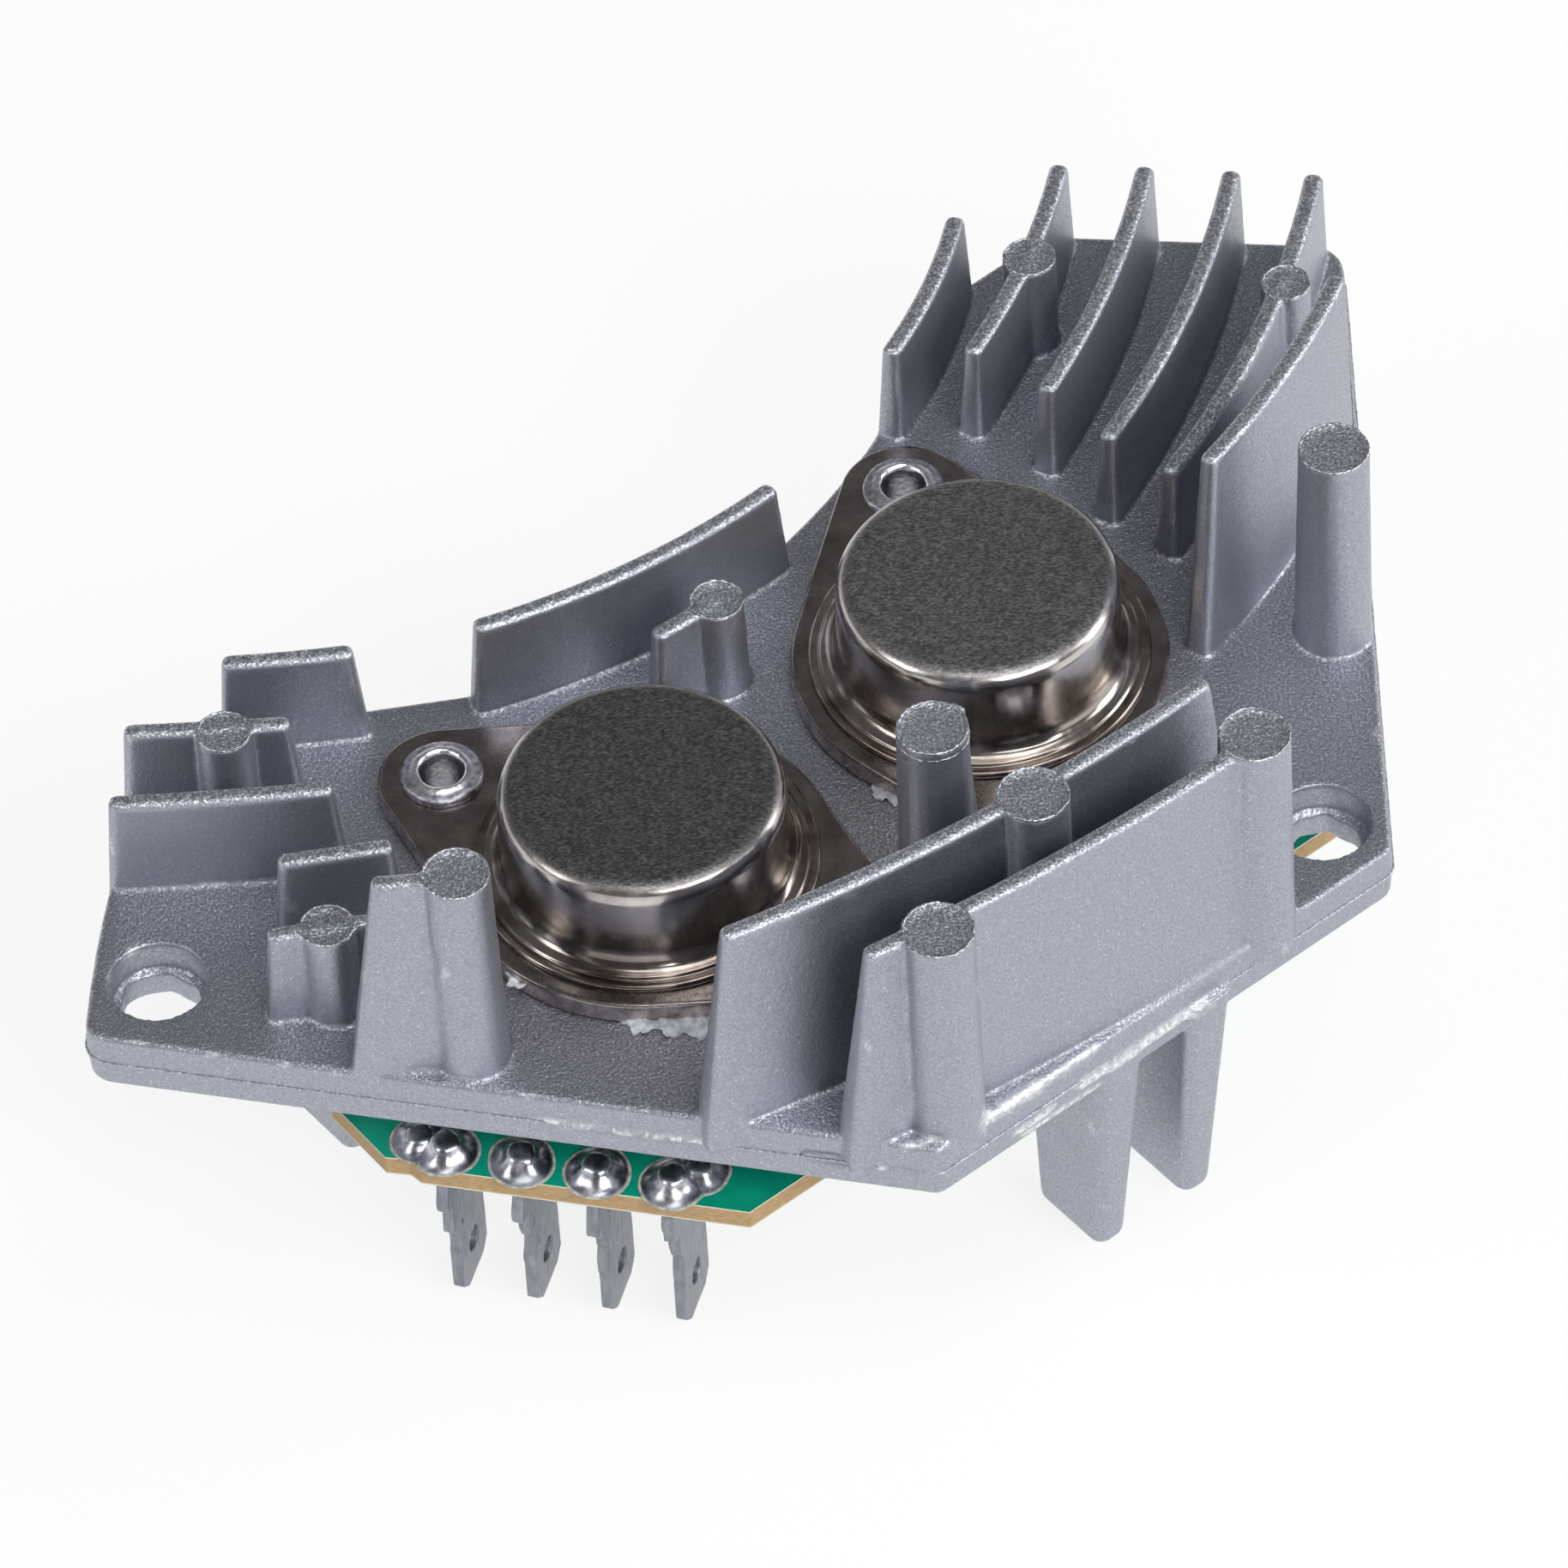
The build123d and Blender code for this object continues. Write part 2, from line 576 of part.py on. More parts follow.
MIN_Z = (Align.CENTER, Align.CENTER, Align.MIN)
driver_body = Pos(0, 0, 0.1) * Box(DRIVER_L, DRIVER_W, DRIVER_H, align=MIN_Z)
driver_top = driver_body.edges().filter_by(lambda e: abs(e.center().Z - DRIVER_H - 0.1) < 0.01)
driver_body = chamfer(driver_top, 0.3)
lead_path = Polyline(
    (DRIVER_W / 2, 0.85), (2.5, 0.85), (2.7, 0.2), (3.1, 0.2), (3.1, 0), (2.55, 0), (2.35, 0.65),
    (DRIVER_W / 2, 0.65), close=True,
)
lead = extrude(Plane.YZ * make_face(lead_path), amount=0.2, both=True)
leads = []
for side in (0, 180):
    for n in range(7):
        leads.append(Rot(0, 0, side) * Pos((n - 3) * LEAD_PITCH, 0, 0) * lead)
driver_place = under(4.0, 10.5, EDGE_ANGLE)
export_step(driver_place * driver_body, "parts/driver_circuit.step")
export_step(Compound([driver_place * l for l in leads]), "parts/driver_leads.step")

can_base = Box(6.6, 6.6, 0.8, align=MIN_Z)
can_body = Pos(0, 0, 0.8) * Cylinder(CAN_R, CAN_H - 0.8, align=MIN_Z)
can_top = can_body.edges().filter_by(lambda e: abs(e.center().Z - CAN_H) < 0.01)
can_body = fillet(can_top, 0.4)
can_place = under(-16.5, 4.5, EDGE_ANGLE)
export_step(can_place * can_body, "parts/capacitor_can.step")
export_step(can_place * can_base, "parts/capacitor_base.step")

diode_body = Box(DIODE_L, DIODE_W, DIODE_H, align=MIN_Z)
diode_top = diode_body.edges().filter_by(lambda e: abs(e.center().Z - DIODE_H) < 0.01)
diode_place = under(10.0, 0.5, EDGE_ANGLE)
export_step(diode_place * chamfer(diode_top, 0.35), "parts/protection_diode.step")

sense = Box(SENSE_L, SENSE_W, SENSE_H, align=MIN_Z)
sense_places = [under(13.5, 9.0, EDGE_ANGLE + 90), under(18.3, 11.9, EDGE_ANGLE + 90)]
export_step(Compound([p * sense for p in sense_places]), "parts/sense_resistors.step")

chip_r = Box(CHIP_R_L, CHIP_R_W, CHIP_R_H, align=MIN_Z)
chip_spots = [(-4.6, 12.6), (-2.0, 14.2), (0.6, 15.8), (-5.6, -3.4), (0.3, -6.8)]
chip_places = [under(x, y, EDGE_ANGLE) for x, y in chip_spots]
export_step(Compound([p * chip_r for p in chip_places]), "parts/chip_resistors.step")
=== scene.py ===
import math
import random

import bmesh
import bpy
import numpy as np
from mathutils import Matrix, Vector, noise


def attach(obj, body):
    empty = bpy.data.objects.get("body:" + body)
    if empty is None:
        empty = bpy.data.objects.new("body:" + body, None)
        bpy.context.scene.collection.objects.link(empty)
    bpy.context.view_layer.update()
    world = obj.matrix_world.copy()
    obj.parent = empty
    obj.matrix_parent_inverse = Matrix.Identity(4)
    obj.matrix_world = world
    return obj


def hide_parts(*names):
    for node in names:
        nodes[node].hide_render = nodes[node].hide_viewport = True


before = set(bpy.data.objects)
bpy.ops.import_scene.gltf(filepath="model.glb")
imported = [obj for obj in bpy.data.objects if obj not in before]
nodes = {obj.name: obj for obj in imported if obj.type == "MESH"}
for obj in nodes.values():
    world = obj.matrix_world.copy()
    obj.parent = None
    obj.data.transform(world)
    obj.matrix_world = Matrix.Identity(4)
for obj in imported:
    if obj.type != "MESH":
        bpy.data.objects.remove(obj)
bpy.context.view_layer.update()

# Studio. A white table that turns up into a low round wall, with soft boxes in front, at
# both sides and overhead, and dim grey air above, which the flat tops of the caps mirror.

TABLE_Z = -0.0245
TABLE_RADIUS = 1.3
TABLE_CURVE = 0.2
TABLE_WALL = 0.42
TABLE_STEPS = 96
table_profile = [(0.0, 0.0), (TABLE_RADIUS, 0.0)]
for step in range(1, 9):
    turn = math.radians(90 * step / 8)
    radius = TABLE_RADIUS + TABLE_CURVE * math.sin(turn)
    table_profile.append((radius, TABLE_CURVE - TABLE_CURVE * math.cos(turn)))
table_profile.append((TABLE_RADIUS + TABLE_CURVE, TABLE_WALL))
table_mesh = bmesh.new()
rings = []
for radius, height in table_profile:
    ring = []
    for step in range(TABLE_STEPS):
        angle = 2 * math.pi * step / TABLE_STEPS
        spot = (radius * math.cos(angle), radius * math.sin(angle), TABLE_Z + height)
        ring.append(table_mesh.verts.new(spot if radius else (0, 0, TABLE_Z)))
        if not radius:
            break
    rings.append(ring)
for step in range(TABLE_STEPS):
    after = (step + 1) % TABLE_STEPS
    table_mesh.faces.new((rings[0][0], rings[1][step], rings[1][after]))
    for low, high in zip(rings[1:], rings[2:]):
        table_mesh.faces.new((low[step], high[step], high[after], low[after]))
table_data = bpy.data.meshes.new("table")
table_mesh.to_mesh(table_data)
table_mesh.free()
table_data.shade_smooth()
table = bpy.data.objects.new("table", table_data)
bpy.context.scene.collection.objects.link(table)

white_table = bpy.data.materials.new("white_table")
white_table.use_nodes = True
tree = white_table.node_tree
tree.nodes.clear()
matt = tree.nodes.new("ShaderNodeBsdfDiffuse")
matt.inputs["Color"].default_value = (0.86, 0.86, 0.87, 1)
glow = tree.nodes.new("ShaderNodeEmission")
glow.inputs["Color"].default_value = (1, 1, 1, 1)
glow.inputs["Strength"].default_value = 1.0
path = tree.nodes.new("ShaderNodeLightPath")
seen = tree.nodes.new("ShaderNodeMath")
seen.operation = "MAXIMUM"
tree.links.new(path.outputs["Is Camera Ray"], seen.inputs[0])
tree.links.new(path.outputs["Is Glossy Ray"], seen.inputs[1])
seen_all = tree.nodes.new("ShaderNodeMath")
seen_all.operation = "MAXIMUM"
tree.links.new(seen.outputs[0], seen_all.inputs[0])
tree.links.new(path.outputs["Is Transmission Ray"], seen_all.inputs[1])
share = tree.nodes.new("ShaderNodeMath")
share.operation = "MULTIPLY"
share.inputs[1].default_value = 0.85
tree.links.new(seen_all.outputs[0], share.inputs[0])
blend = tree.nodes.new("ShaderNodeMixShader")
tree.links.new(share.outputs[0], blend.inputs[0])
tree.links.new(matt.outputs[0], blend.inputs[1])
tree.links.new(glow.outputs[0], blend.inputs[2])
output = tree.nodes.new("ShaderNodeOutputMaterial")
tree.links.new(blend.outputs[0], output.inputs["Surface"])
table.data.materials.append(white_table)

air = bpy.data.worlds.new("studio_air")
air.use_nodes = True
air.node_tree.nodes["Background"].inputs["Color"].default_value = (0.17, 0.17, 0.175, 1)
air.node_tree.nodes["Background"].inputs["Strength"].default_value = 1.0
bpy.context.scene.world = air

LAMPS_AIM_AT = Vector((0.004, 0.01, 0))
for lamp_name, spot, width, height, power in (
    ("front_box", (0.34, -0.62, 0.62), 0.55, 0.40, 6.1),
    ("left_box", (-0.72, -0.22, 0.60), 0.40, 0.45, 2.1),
    ("right_box", (0.75, 0.02, 0.34), 0.35, 0.45, 2.6),
    ("top_box", (0.10, -0.10, 0.95), 0.55, 0.35, 2.2),
):
    lamp_data = bpy.data.lights.new(lamp_name, "AREA")
    lamp_data.shape = "RECTANGLE"
    lamp_data.size = width
    lamp_data.size_y = height
    lamp_data.energy = power
    lamp = bpy.data.objects.new(lamp_name, lamp_data)
    lamp.location = spot
    lamp.rotation_euler = (LAMPS_AIM_AT - Vector(spot)).to_track_quat("-Z", "Y").to_euler()
    bpy.context.scene.collection.objects.link(lamp)

camera_data = bpy.data.cameras.new("photo_camera")
camera_data.lens = 224.015
camera_data.sensor_width = 36
camera_data.clip_end = 10
camera = bpy.data.objects.new("photo_camera", camera_data)
camera.location = (-0.038915, -0.406580, 0.468726)
camera.rotation_euler = [math.radians(a) for a in (41.6913, 2.2296, -8.4022)]
bpy.context.scene.collection.objects.link(camera)
bpy.context.scene.camera = camera
bpy.context.scene.view_settings.view_transform = "Standard"

# Heat sink. One aluminium die casting: plate, curved fins, posts with a short web beside one,
# stepped screw holes and three legs. Its corners are soft, its skin is grainy and full of painted
# sparks (painted glints), strongest on upward faces; concave corners carry painted shade and convex
# edges are painted bright, partly as rubbed wear and partly as painted highlight. Its edge is dented,
# and bright where gates and flash were sheared off, with a painted highlight along the top rim of its front
# right edge.

MM = 0.001


def finish(name, colour, metallic, roughness):
    """A new material with its tree, its shader and the coordinates of the piece it is on."""
    material = bpy.data.materials.new(name)
    material.use_nodes = True
    nodes_of = material.node_tree.nodes
    shader = nodes_of["Principled BSDF"]
    shader.inputs["Base Color"].default_value = (*colour, 1)
    shader.inputs["Metallic"].default_value = metallic
    shader.inputs["Roughness"].default_value = roughness
    place = nodes_of.new("ShaderNodeTexCoord").outputs["Object"]
    return material, material.node_tree, shader, place


def grain(tree, place, per_mm, detail=2.0, stretch=(1, 1, 1)):
    """Noise with that many grains to the millimetre, drawn out along the stretch."""
    turn = tree.nodes.new("ShaderNodeMapping")
    turn.inputs["Scale"].default_value = stretch
    tree.links.new(place, turn.inputs["Vector"])
    texture = tree.nodes.new("ShaderNodeTexNoise")
    texture.inputs["Scale"].default_value = per_mm * 1000
    texture.inputs["Detail"].default_value = detail
    tree.links.new(turn.outputs[0], texture.inputs["Vector"])
    return texture.outputs["Fac"]


def graded(tree, value, stops):
    """Colours along a value, as (position, colour) stops."""
    ramp = tree.nodes.new("ShaderNodeValToRGB")
    while len(ramp.color_ramp.elements) < len(stops):
        ramp.color_ramp.elements.new(0.5)
    for element, (position, colour) in zip(ramp.color_ramp.elements, stops):
        element.position = position
        element.color = (*colour, 1)
    tree.links.new(value, ramp.inputs[0])
    return ramp.outputs["Color"]


def scaled(tree, value, low, high, to_low, to_high):
    """The value's range from low to high laid on another range, with its ends held."""
    span = tree.nodes.new("ShaderNodeMapRange")
    ends = {"From Min": low, "From Max": high, "To Min": to_low, "To Max": to_high}
    for socket, number in ends.items():
        span.inputs[socket].default_value = number
    tree.links.new(value, span.inputs["Value"])
    return span.outputs["Result"]


def mixed(tree, share, first, second):
    """Two colours mixed by a share; a colour is a socket or three numbers."""
    mixer = tree.nodes.new("ShaderNodeMix")
    mixer.data_type = "RGBA"
    tree.links.new(share, mixer.inputs[0])
    for socket, colour in ((mixer.inputs[6], first), (mixer.inputs[7], second)):
        if isinstance(colour, tuple):
            socket.default_value = (*colour, 1)
        else:
            tree.links.new(colour, socket)
    return mixer.outputs[2]


def summed(tree, operation, first, second):
    """Two values put together; a value is a socket or a number."""
    node = tree.nodes.new("ShaderNodeMath")
    node.operation = operation
    for socket, value in ((node.inputs[0], first), (node.inputs[1], second)):
        if isinstance(value, (int, float)):
            socket.default_value = value
        else:
            tree.links.new(value, socket)
    return node.outputs[0]


def roughened(tree, shader, height, depth_mm, strength=1.0):
    """The surface takes its fine relief from a height."""
    bump = tree.nodes.new("ShaderNodeBump")
    bump.inputs["Strength"].default_value = strength
    bump.inputs["Distance"].default_value = depth_mm * MM
    tree.links.new(height, bump.inputs["Height"])
    tree.links.new(bump.outputs[0], shader.inputs["Normal"])


casting, tree, shader, place = finish("cast_aluminium", (0.37, 0.38, 0.43), 0.9, 0.45)
geometry = tree.nodes.new("ShaderNodeNewGeometry")
facing = tree.nodes.new("ShaderNodeSeparateXYZ")
tree.links.new(geometry.outputs["Normal"], facing.inputs[0])
upward = scaled(tree, facing.outputs["Z"], 0.35, 0.85, 0.0, 1.0)
level = tree.nodes.new("ShaderNodeSeparateXYZ")
tree.links.new(place, level.inputs[0])
raised = scaled(tree, level.outputs["Z"], 1.5 * MM, 3.0 * MM, 0.0, 1.0)
speckle = grain(tree, place, 5.6, 2)
# Grain tones: faces that stand on edge keep the calm grain; upward faces take painted glints, brightest on
# the raised tops of fins and posts.
calm = [(0.34, (0.35, 0.36, 0.41)), (0.5, (0.39, 0.402, 0.457)), (0.66, (0.43, 0.442, 0.50))]
low_top_glint_tones = [
    (0.36, (0.21, 0.216, 0.248)), (0.5, (0.30, 0.308, 0.352)),
    (0.6, (0.38, 0.39, 0.44)), (0.7, (0.62, 0.63, 0.68)),
]
raised_top_glint_tones = [
    (0.36, (0.20, 0.205, 0.235)), (0.5, (0.36, 0.37, 0.415)),
    (0.58, (0.52, 0.53, 0.58)), (0.7, (0.95, 0.95, 0.98)),
]
on_top = mixed(tree, raised, graded(tree, speckle, low_top_glint_tones), graded(tree, speckle, raised_top_glint_tones))
skin = mixed(tree, upward, graded(tree, speckle, calm), on_top)
# Painted sparks: small bright flecks of painted glint over the whole skin.
painted_sparks = scaled(tree, grain(tree, place, 7.0, 1), 0.66, 0.74, 0.0, 0.55)
skin = mixed(tree, painted_sparks, skin, (0.92, 0.92, 0.96))
# Painted shade: concave corners and creases, where pointiness is low, are darkened.
corners = scaled(tree, geometry.outputs["Pointiness"], 0.42, 0.485, 0.75, 0.0)
skin = mixed(tree, corners, skin, (0.15, 0.154, 0.18))
# Convex edges, where pointiness is high, are painted bright, partly as rubbed wear and partly as painted
# highlight.
wear_and_edge_highlight = scaled(tree, geometry.outputs["Pointiness"], 0.545, 0.62, 0.0, 0.55)
wear_and_edge_highlight = summed(tree, "MULTIPLY", wear_and_edge_highlight, scaled(tree, speckle, 0.4, 0.6, 0.3, 1.0))
skin = mixed(tree, wear_and_edge_highlight, skin, (0.80, 0.81, 0.85))
# Bright bare metal where gates and flash were sheared, partly a painted highlight along the front right top
# rim.
sheared_and_highlit = tree.nodes.new("ShaderNodeAttribute")
sheared_and_highlit.attribute_name = "sheared_and_highlit"
bare_and_highlit_tones = [(0.36, (0.55, 0.56, 0.60)), (0.52, (0.82, 0.82, 0.85)), (0.62, (1, 1, 1))]
skin = mixed(tree, sheared_and_highlit.outputs["Fac"], skin, graded(tree, grain(tree, place, 3.0, 4), bare_and_highlit_tones))
tree.links.new(skin, shader.inputs["Base Color"])
tree.links.new(scaled(tree, speckle, 0.4, 0.66, 0.5, 0.36), shader.inputs["Roughness"])
relief = summed(tree, "ADD", speckle, grain(tree, place, 2.0, 2))
relief = summed(tree, "MULTIPLY", relief, summed(tree, "ADD", upward, 0.6))
roughened(tree, shader, relief, 0.045, 0.8)


def plain(source, name):
    """The evaluated mesh of a piece as a plain object, with its modifiers left behind."""
    seen = source.evaluated_get(bpy.context.evaluated_depsgraph_get())
    mesh = bpy.data.meshes.new_from_object(seen)
    mesh.name = name
    bpy.data.objects.remove(source)
    result = bpy.data.objects.new(name, mesh)
    bpy.context.scene.collection.objects.link(result)
    return result


def merged(node_name):
    """The loose triangles of a CAD node as one closed mesh."""
    mesh = bmesh.new()
    mesh.from_mesh(nodes[node_name].data)
    bmesh.ops.remove_doubles(mesh, verts=mesh.verts, dist=1e-6)
    return mesh


def recast(name, mesh, voxel_mm, rounds):
    """A closed mesh made again in small even faces, with its edges softened."""
    data = bpy.data.meshes.new(name)
    mesh.to_mesh(data)
    mesh.free()
    source = bpy.data.objects.new(name, data)
    bpy.context.scene.collection.objects.link(source)
    even = source.modifiers.new("even", "REMESH")
    even.mode = "VOXEL"
    even.voxel_size = voxel_mm * MM
    soften = source.modifiers.new("soften", "SMOOTH")
    soften.factor = 0.5
    soften.iterations = rounds
    return plain(source, name)


def thinned(piece, share, name):
    """The piece with only that share of its triangles, and smooth to look at."""
    fewer = piece.modifiers.new("fewer", "DECIMATE")
    fewer.ratio = share
    result = plain(piece, name)
    result.data.materials.clear()
    result.data.shade_smooth()
    return result


def turned(name, profile, steps, closed):
    """A piece turned about Z from its (radius, height) outline, in millimetres."""
    mesh = bmesh.new()
    rings = []
    for radius, height in profile:
        if radius == 0:
            rings.append([mesh.verts.new((0, 0, height * MM))] * steps)
            continue
        ring = []
        for step in range(steps):
            angle = 2 * math.pi * step / steps
            x = radius * math.cos(angle) * MM
            y = radius * math.sin(angle) * MM
            ring.append(mesh.verts.new((x, y, height * MM)))
        rings.append(ring)
    pairs = list(zip(rings, rings[1:]))
    if closed:
        pairs.append((rings[-1], rings[0]))
    for first, second in pairs:
        for step in range(steps):
            after = (step + 1) % steps
            corners = []
            for vertex in (first[step], first[after], second[after], second[step]):
                if vertex not in corners:
                    corners.append(vertex)
            if len(corners) > 2:
                mesh.faces.new(corners)
    bmesh.ops.recalc_face_normals(mesh, faces=mesh.faces)
    data = bpy.data.meshes.new(name)
    mesh.to_mesh(data)
    mesh.free()
    data.shade_smooth()
    piece = bpy.data.objects.new(name, data)
    bpy.context.scene.collection.objects.link(piece)
    return piece


def put(piece, x, y, angle):
    """A piece made round the origin is moved to its place, in its mesh."""
    spin = Matrix.Rotation(math.radians(angle), 4, "Z")
    piece.data.transform(Matrix.Translation((x * MM, y * MM, 0)) @ spin)


def beside(spots, start, end):
    """How far each spot is from a stretch between two places, all in millimetres."""
    start = np.array(start)
    way = np.array(end) - start
    share = np.clip((spots - start) @ way / (way @ way), 0, 1)
    return np.linalg.norm(spots - start - share[:, None] * way, axis=1)


rough_mesh = merged("heat_sink")

WEB_START = Vector((12.30, -2.81))
WEB_END = Vector((14.30, -0.90))
along = (WEB_END - WEB_START).normalized()
across = Vector((-along.y, along.x))
web_corners = []
WEB_LEVELS = [(16.9, 0.5, 0.0), (-1.0, 0.95, 1.0)]
for height, half, longer in WEB_LEVELS:
    for end in (WEB_START, WEB_END + along * longer):
        for side in (-1, 1):
            spot = end + across * half * side
            web_corners.append(rough_mesh.verts.new((spot.x * MM, spot.y * MM, height * MM)))
bmesh.ops.convex_hull(rough_mesh, input=web_corners)

HOLE_X = 37.5
HOLE_STEP = [(2.66, -4.3), (2.60, -2.3), (3.5, -2.2), (3.5, -4.3)]
STEP_INSIDE = 3.2
for side in (-1, 1):
    step_ring = turned("hole_step", HOLE_STEP, 96, True)
    for vertex in step_ring.data.vertices:
        flat = Vector((vertex.co.x, vertex.co.y, 0))
        if flat.length < STEP_INSIDE * MM:
            ragged = noise.noise(Vector((vertex.co.x * 900, vertex.co.y * 900, side * 3.0)))
            vertex.co += flat.normalized() * ragged * 0.22 * MM
            vertex.co.z += ragged * 0.2 * MM
    put(step_ring, side * HOLE_X, 0, 0)
    rough_mesh.from_mesh(step_ring.data)
    bpy.data.objects.remove(step_ring)

dense = recast("heat_sink_dense", rough_mesh, voxel_mm=0.18, rounds=3)

# Dents: start and end on the edge, the way out of it, half height, and how far it stands out,
# which is negative where it goes in.
LEFT_EDGE_OUT = np.array((-0.3425, -0.9395, 0.0))
RIGHT_EDGE_OUT = np.array((0.515, -0.857, 0.0))
DENTS = [
    ((-14.8, -14.1, -2.08), (-5.0, -17.65, -2.1), LEFT_EDGE_OUT, 0.26, 0.34),
    ((0.7, -19.7, -2.15), (5.4, -21.4, -2.15), LEFT_EDGE_OUT, 0.50, -0.50),
    ((5.3, -21.4, -2.1), (9.0, -22.7, -2.1), LEFT_EDGE_OUT, 0.25, 0.2),
    ((19.0, -16.9, -2.5), (27.8, -11.6, -2.4), RIGHT_EDGE_OUT, 0.50, 0.25),
    ((14.6, -19.5, -2.9), (16.9, -18.1, -2.9), RIGHT_EDGE_OUT, 0.40, 0.2),
]
spots = np.empty(len(dense.data.vertices) * 3)
dense.data.vertices.foreach_get("co", spots)
spots = spots.reshape(-1, 3) / MM
shift = np.array([noise.noise_vector(Vector(spot) * 1.5) * 0.007 for spot in spots])
shift += np.array([noise.noise_vector(Vector(spot) * 0.45) * 0.006 for spot in spots])
for start, end, out, half, lift in DENTS:
    middle = (np.array(start) + np.array(end)) / 2
    length = np.linalg.norm(np.array(end) - np.array(start)) / 2
    way = (np.array(end) - np.array(start)) / (2 * length)
    there = (spots - middle) @ way / length
    up_down = (spots[:, 2] - middle[2]) / half
    near = np.abs((spots - middle) @ out) < 1.0
    depth = np.clip(1 - there ** 2, 0, 1) ** 0.5 * np.exp(-up_down ** 2) * near
    shift += depth[:, None] * out * lift
spots = (spots + shift) * MM
dense.data.vertices.foreach_set("co", spots.ravel())
dense.data.update()
sink = thinned(dense, share=0.165, name="heat_sink_casting")

# Sheared patches and painted highlights: start and end of each stretch, and its half width. The
# stretches are partly sheared gates and flash, partly a painted highlight along the plate's top rim
# at its front right edge.
SHEARED_AND_HIGHLIT_STRETCHES = [
    ((12.5, -20.8, 0.05), (16.3, -18.5, 0.0), 0.50), ((16.3, -18.5, 0.0), (20.3, -16.1, 0.0), 0.34),
    ((20.3, -16.1, 0.0), (31.1, -9.6, -0.1), 0.17), ((19.2, -16.8, -2.45), (27.8, -11.6, -2.3), 0.42),
    ((14.7, -19.4, -2.95), (16.8, -18.1, -2.85), 0.30), ((15.0, -19.2, -3.8), (20.2, -16.1, -3.8), 0.20),
    ((6.6, -21.9, 0.1), (8.3, -21.8, 0.1), 0.22), ((8.3, -21.8, 0.1), (10.1, -21.4, 0.1), 0.22),
    ((4.6, -21.1, -2.2), (5.6, -21.5, -2.1), 0.25), ((-14.8, -14.2, -1.85), (-5.0, -17.8, -1.85), 0.13),
    ((-38.6, 3.2, -0.2), (-40.4, 0.8, -0.2), 0.22),
]
spots = np.empty(len(sink.data.vertices) * 3)
sink.data.vertices.foreach_get("co", spots)
spots = spots.reshape(-1, 3) / MM
bare_and_highlit_share = np.zeros(len(spots))
for start, end, half in SHEARED_AND_HIGHLIT_STRETCHES:
    bare_and_highlit_share = np.maximum(bare_and_highlit_share, np.clip(1.6 - beside(spots, start, end) / half, 0, 1))
sink.data.attributes.new("sheared_and_highlit", "FLOAT", "POINT").data.foreach_set("value", bare_and_highlit_share)
sink.data.materials.append(casting)
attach(sink, "root")
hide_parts("heat_sink")

# Burrs round the tops of the posts. Each top is where an ejector pin pushed the casting
# out, and metal that crept up round the pin stands as a thin ragged rim. The post beside
# the web has a second ring lower down.

POSTS = [
    (-18.51, -9.45, 17.1, 2.15), (41.25, 16.24, 17.1, 2.3), (31.91, -6.96, 17.1, 2.3),
    (10.05, -19.30, 17.1, 2.3), (12.30, -2.81, 17.1, 2.3), (17.58, -9.38, 17.1, 2.3),
    (12.30, -2.81, 16.5, 2.36),
    (1.42, 19.16, 7.6, 1.78), (26.28, 46.12, 7.6, 1.78), (42.59, 40.63, 7.6, 1.65),
    (-31.19, 13.54, 7.6, 1.78), (-26.56, -3.94, 7.6, 1.78),
]
bright, tree, shader, place = finish("sheared_aluminium", (0.66, 0.66, 0.69), 1.0, 0.34)
torn = grain(tree, place, 4.5, 4)
tree.links.new(
    graded(tree, torn, [(0.35, (0.24, 0.245, 0.28)), (0.5, (0.44, 0.45, 0.49)), (0.66, (0.80, 0.80, 0.84))]),
    shader.inputs["Base Color"],
)
roughened(tree, shader, torn, 0.05, 0.8)

centres = bpy.data.meshes.new("post_centres")
centres.from_pydata([(x * MM, y * MM, z * MM) for x, y, z, r in POSTS], [], [])
reach = centres.attributes.new("top_radius", "FLOAT", "POINT")
for number, (x, y, z, r) in enumerate(POSTS):
    reach.data[number].value = (r - 0.1) * MM
rims = bpy.data.objects.new("post_rims_source", centres)
bpy.context.scene.collection.objects.link(rims)

rim_tree = bpy.data.node_groups.new("post_rims", "GeometryNodeTree")
sockets = rim_tree.interface
sockets.new_socket("Post centres", in_out="INPUT", socket_type="NodeSocketGeometry")
thickness_in = sockets.new_socket("Rim thickness", in_out="INPUT", socket_type="NodeSocketFloat")
ragged_in = sockets.new_socket("Raggedness", in_out="INPUT", socket_type="NodeSocketFloat")
seed_in = sockets.new_socket("Seed", in_out="INPUT", socket_type="NodeSocketFloat")
metal_in = sockets.new_socket("Metal", in_out="INPUT", socket_type="NodeSocketMaterial")
sockets.new_socket("Rims", in_out="OUTPUT", socket_type="NodeSocketGeometry")
add = rim_tree.nodes.new
join = rim_tree.links.new
given = add("NodeGroupInput")
circle = add("GeometryNodeCurvePrimitiveCircle")
circle.inputs["Resolution"].default_value = 150
circle.inputs["Radius"].default_value = 1.0
radius_of = add("GeometryNodeInputNamedAttribute")
radius_of.data_type = "FLOAT"
radius_of.inputs["Name"].default_value = "top_radius"
on_posts = add("GeometryNodeInstanceOnPoints")
join(given.outputs["Post centres"], on_posts.inputs["Points"])
join(circle.outputs["Curve"], on_posts.inputs["Instance"])
join(radius_of.outputs["Attribute"], on_posts.inputs["Scale"])
loose = add("GeometryNodeRealizeInstances")
join(on_posts.outputs[0], loose.inputs[0])
where = add("GeometryNodeInputPosition")
tear = add("ShaderNodeTexNoise")
tear.noise_dimensions = "4D"
tear.inputs["Scale"].default_value = 1300
tear.inputs["Detail"].default_value = 3
join(where.outputs[0], tear.inputs["Vector"])
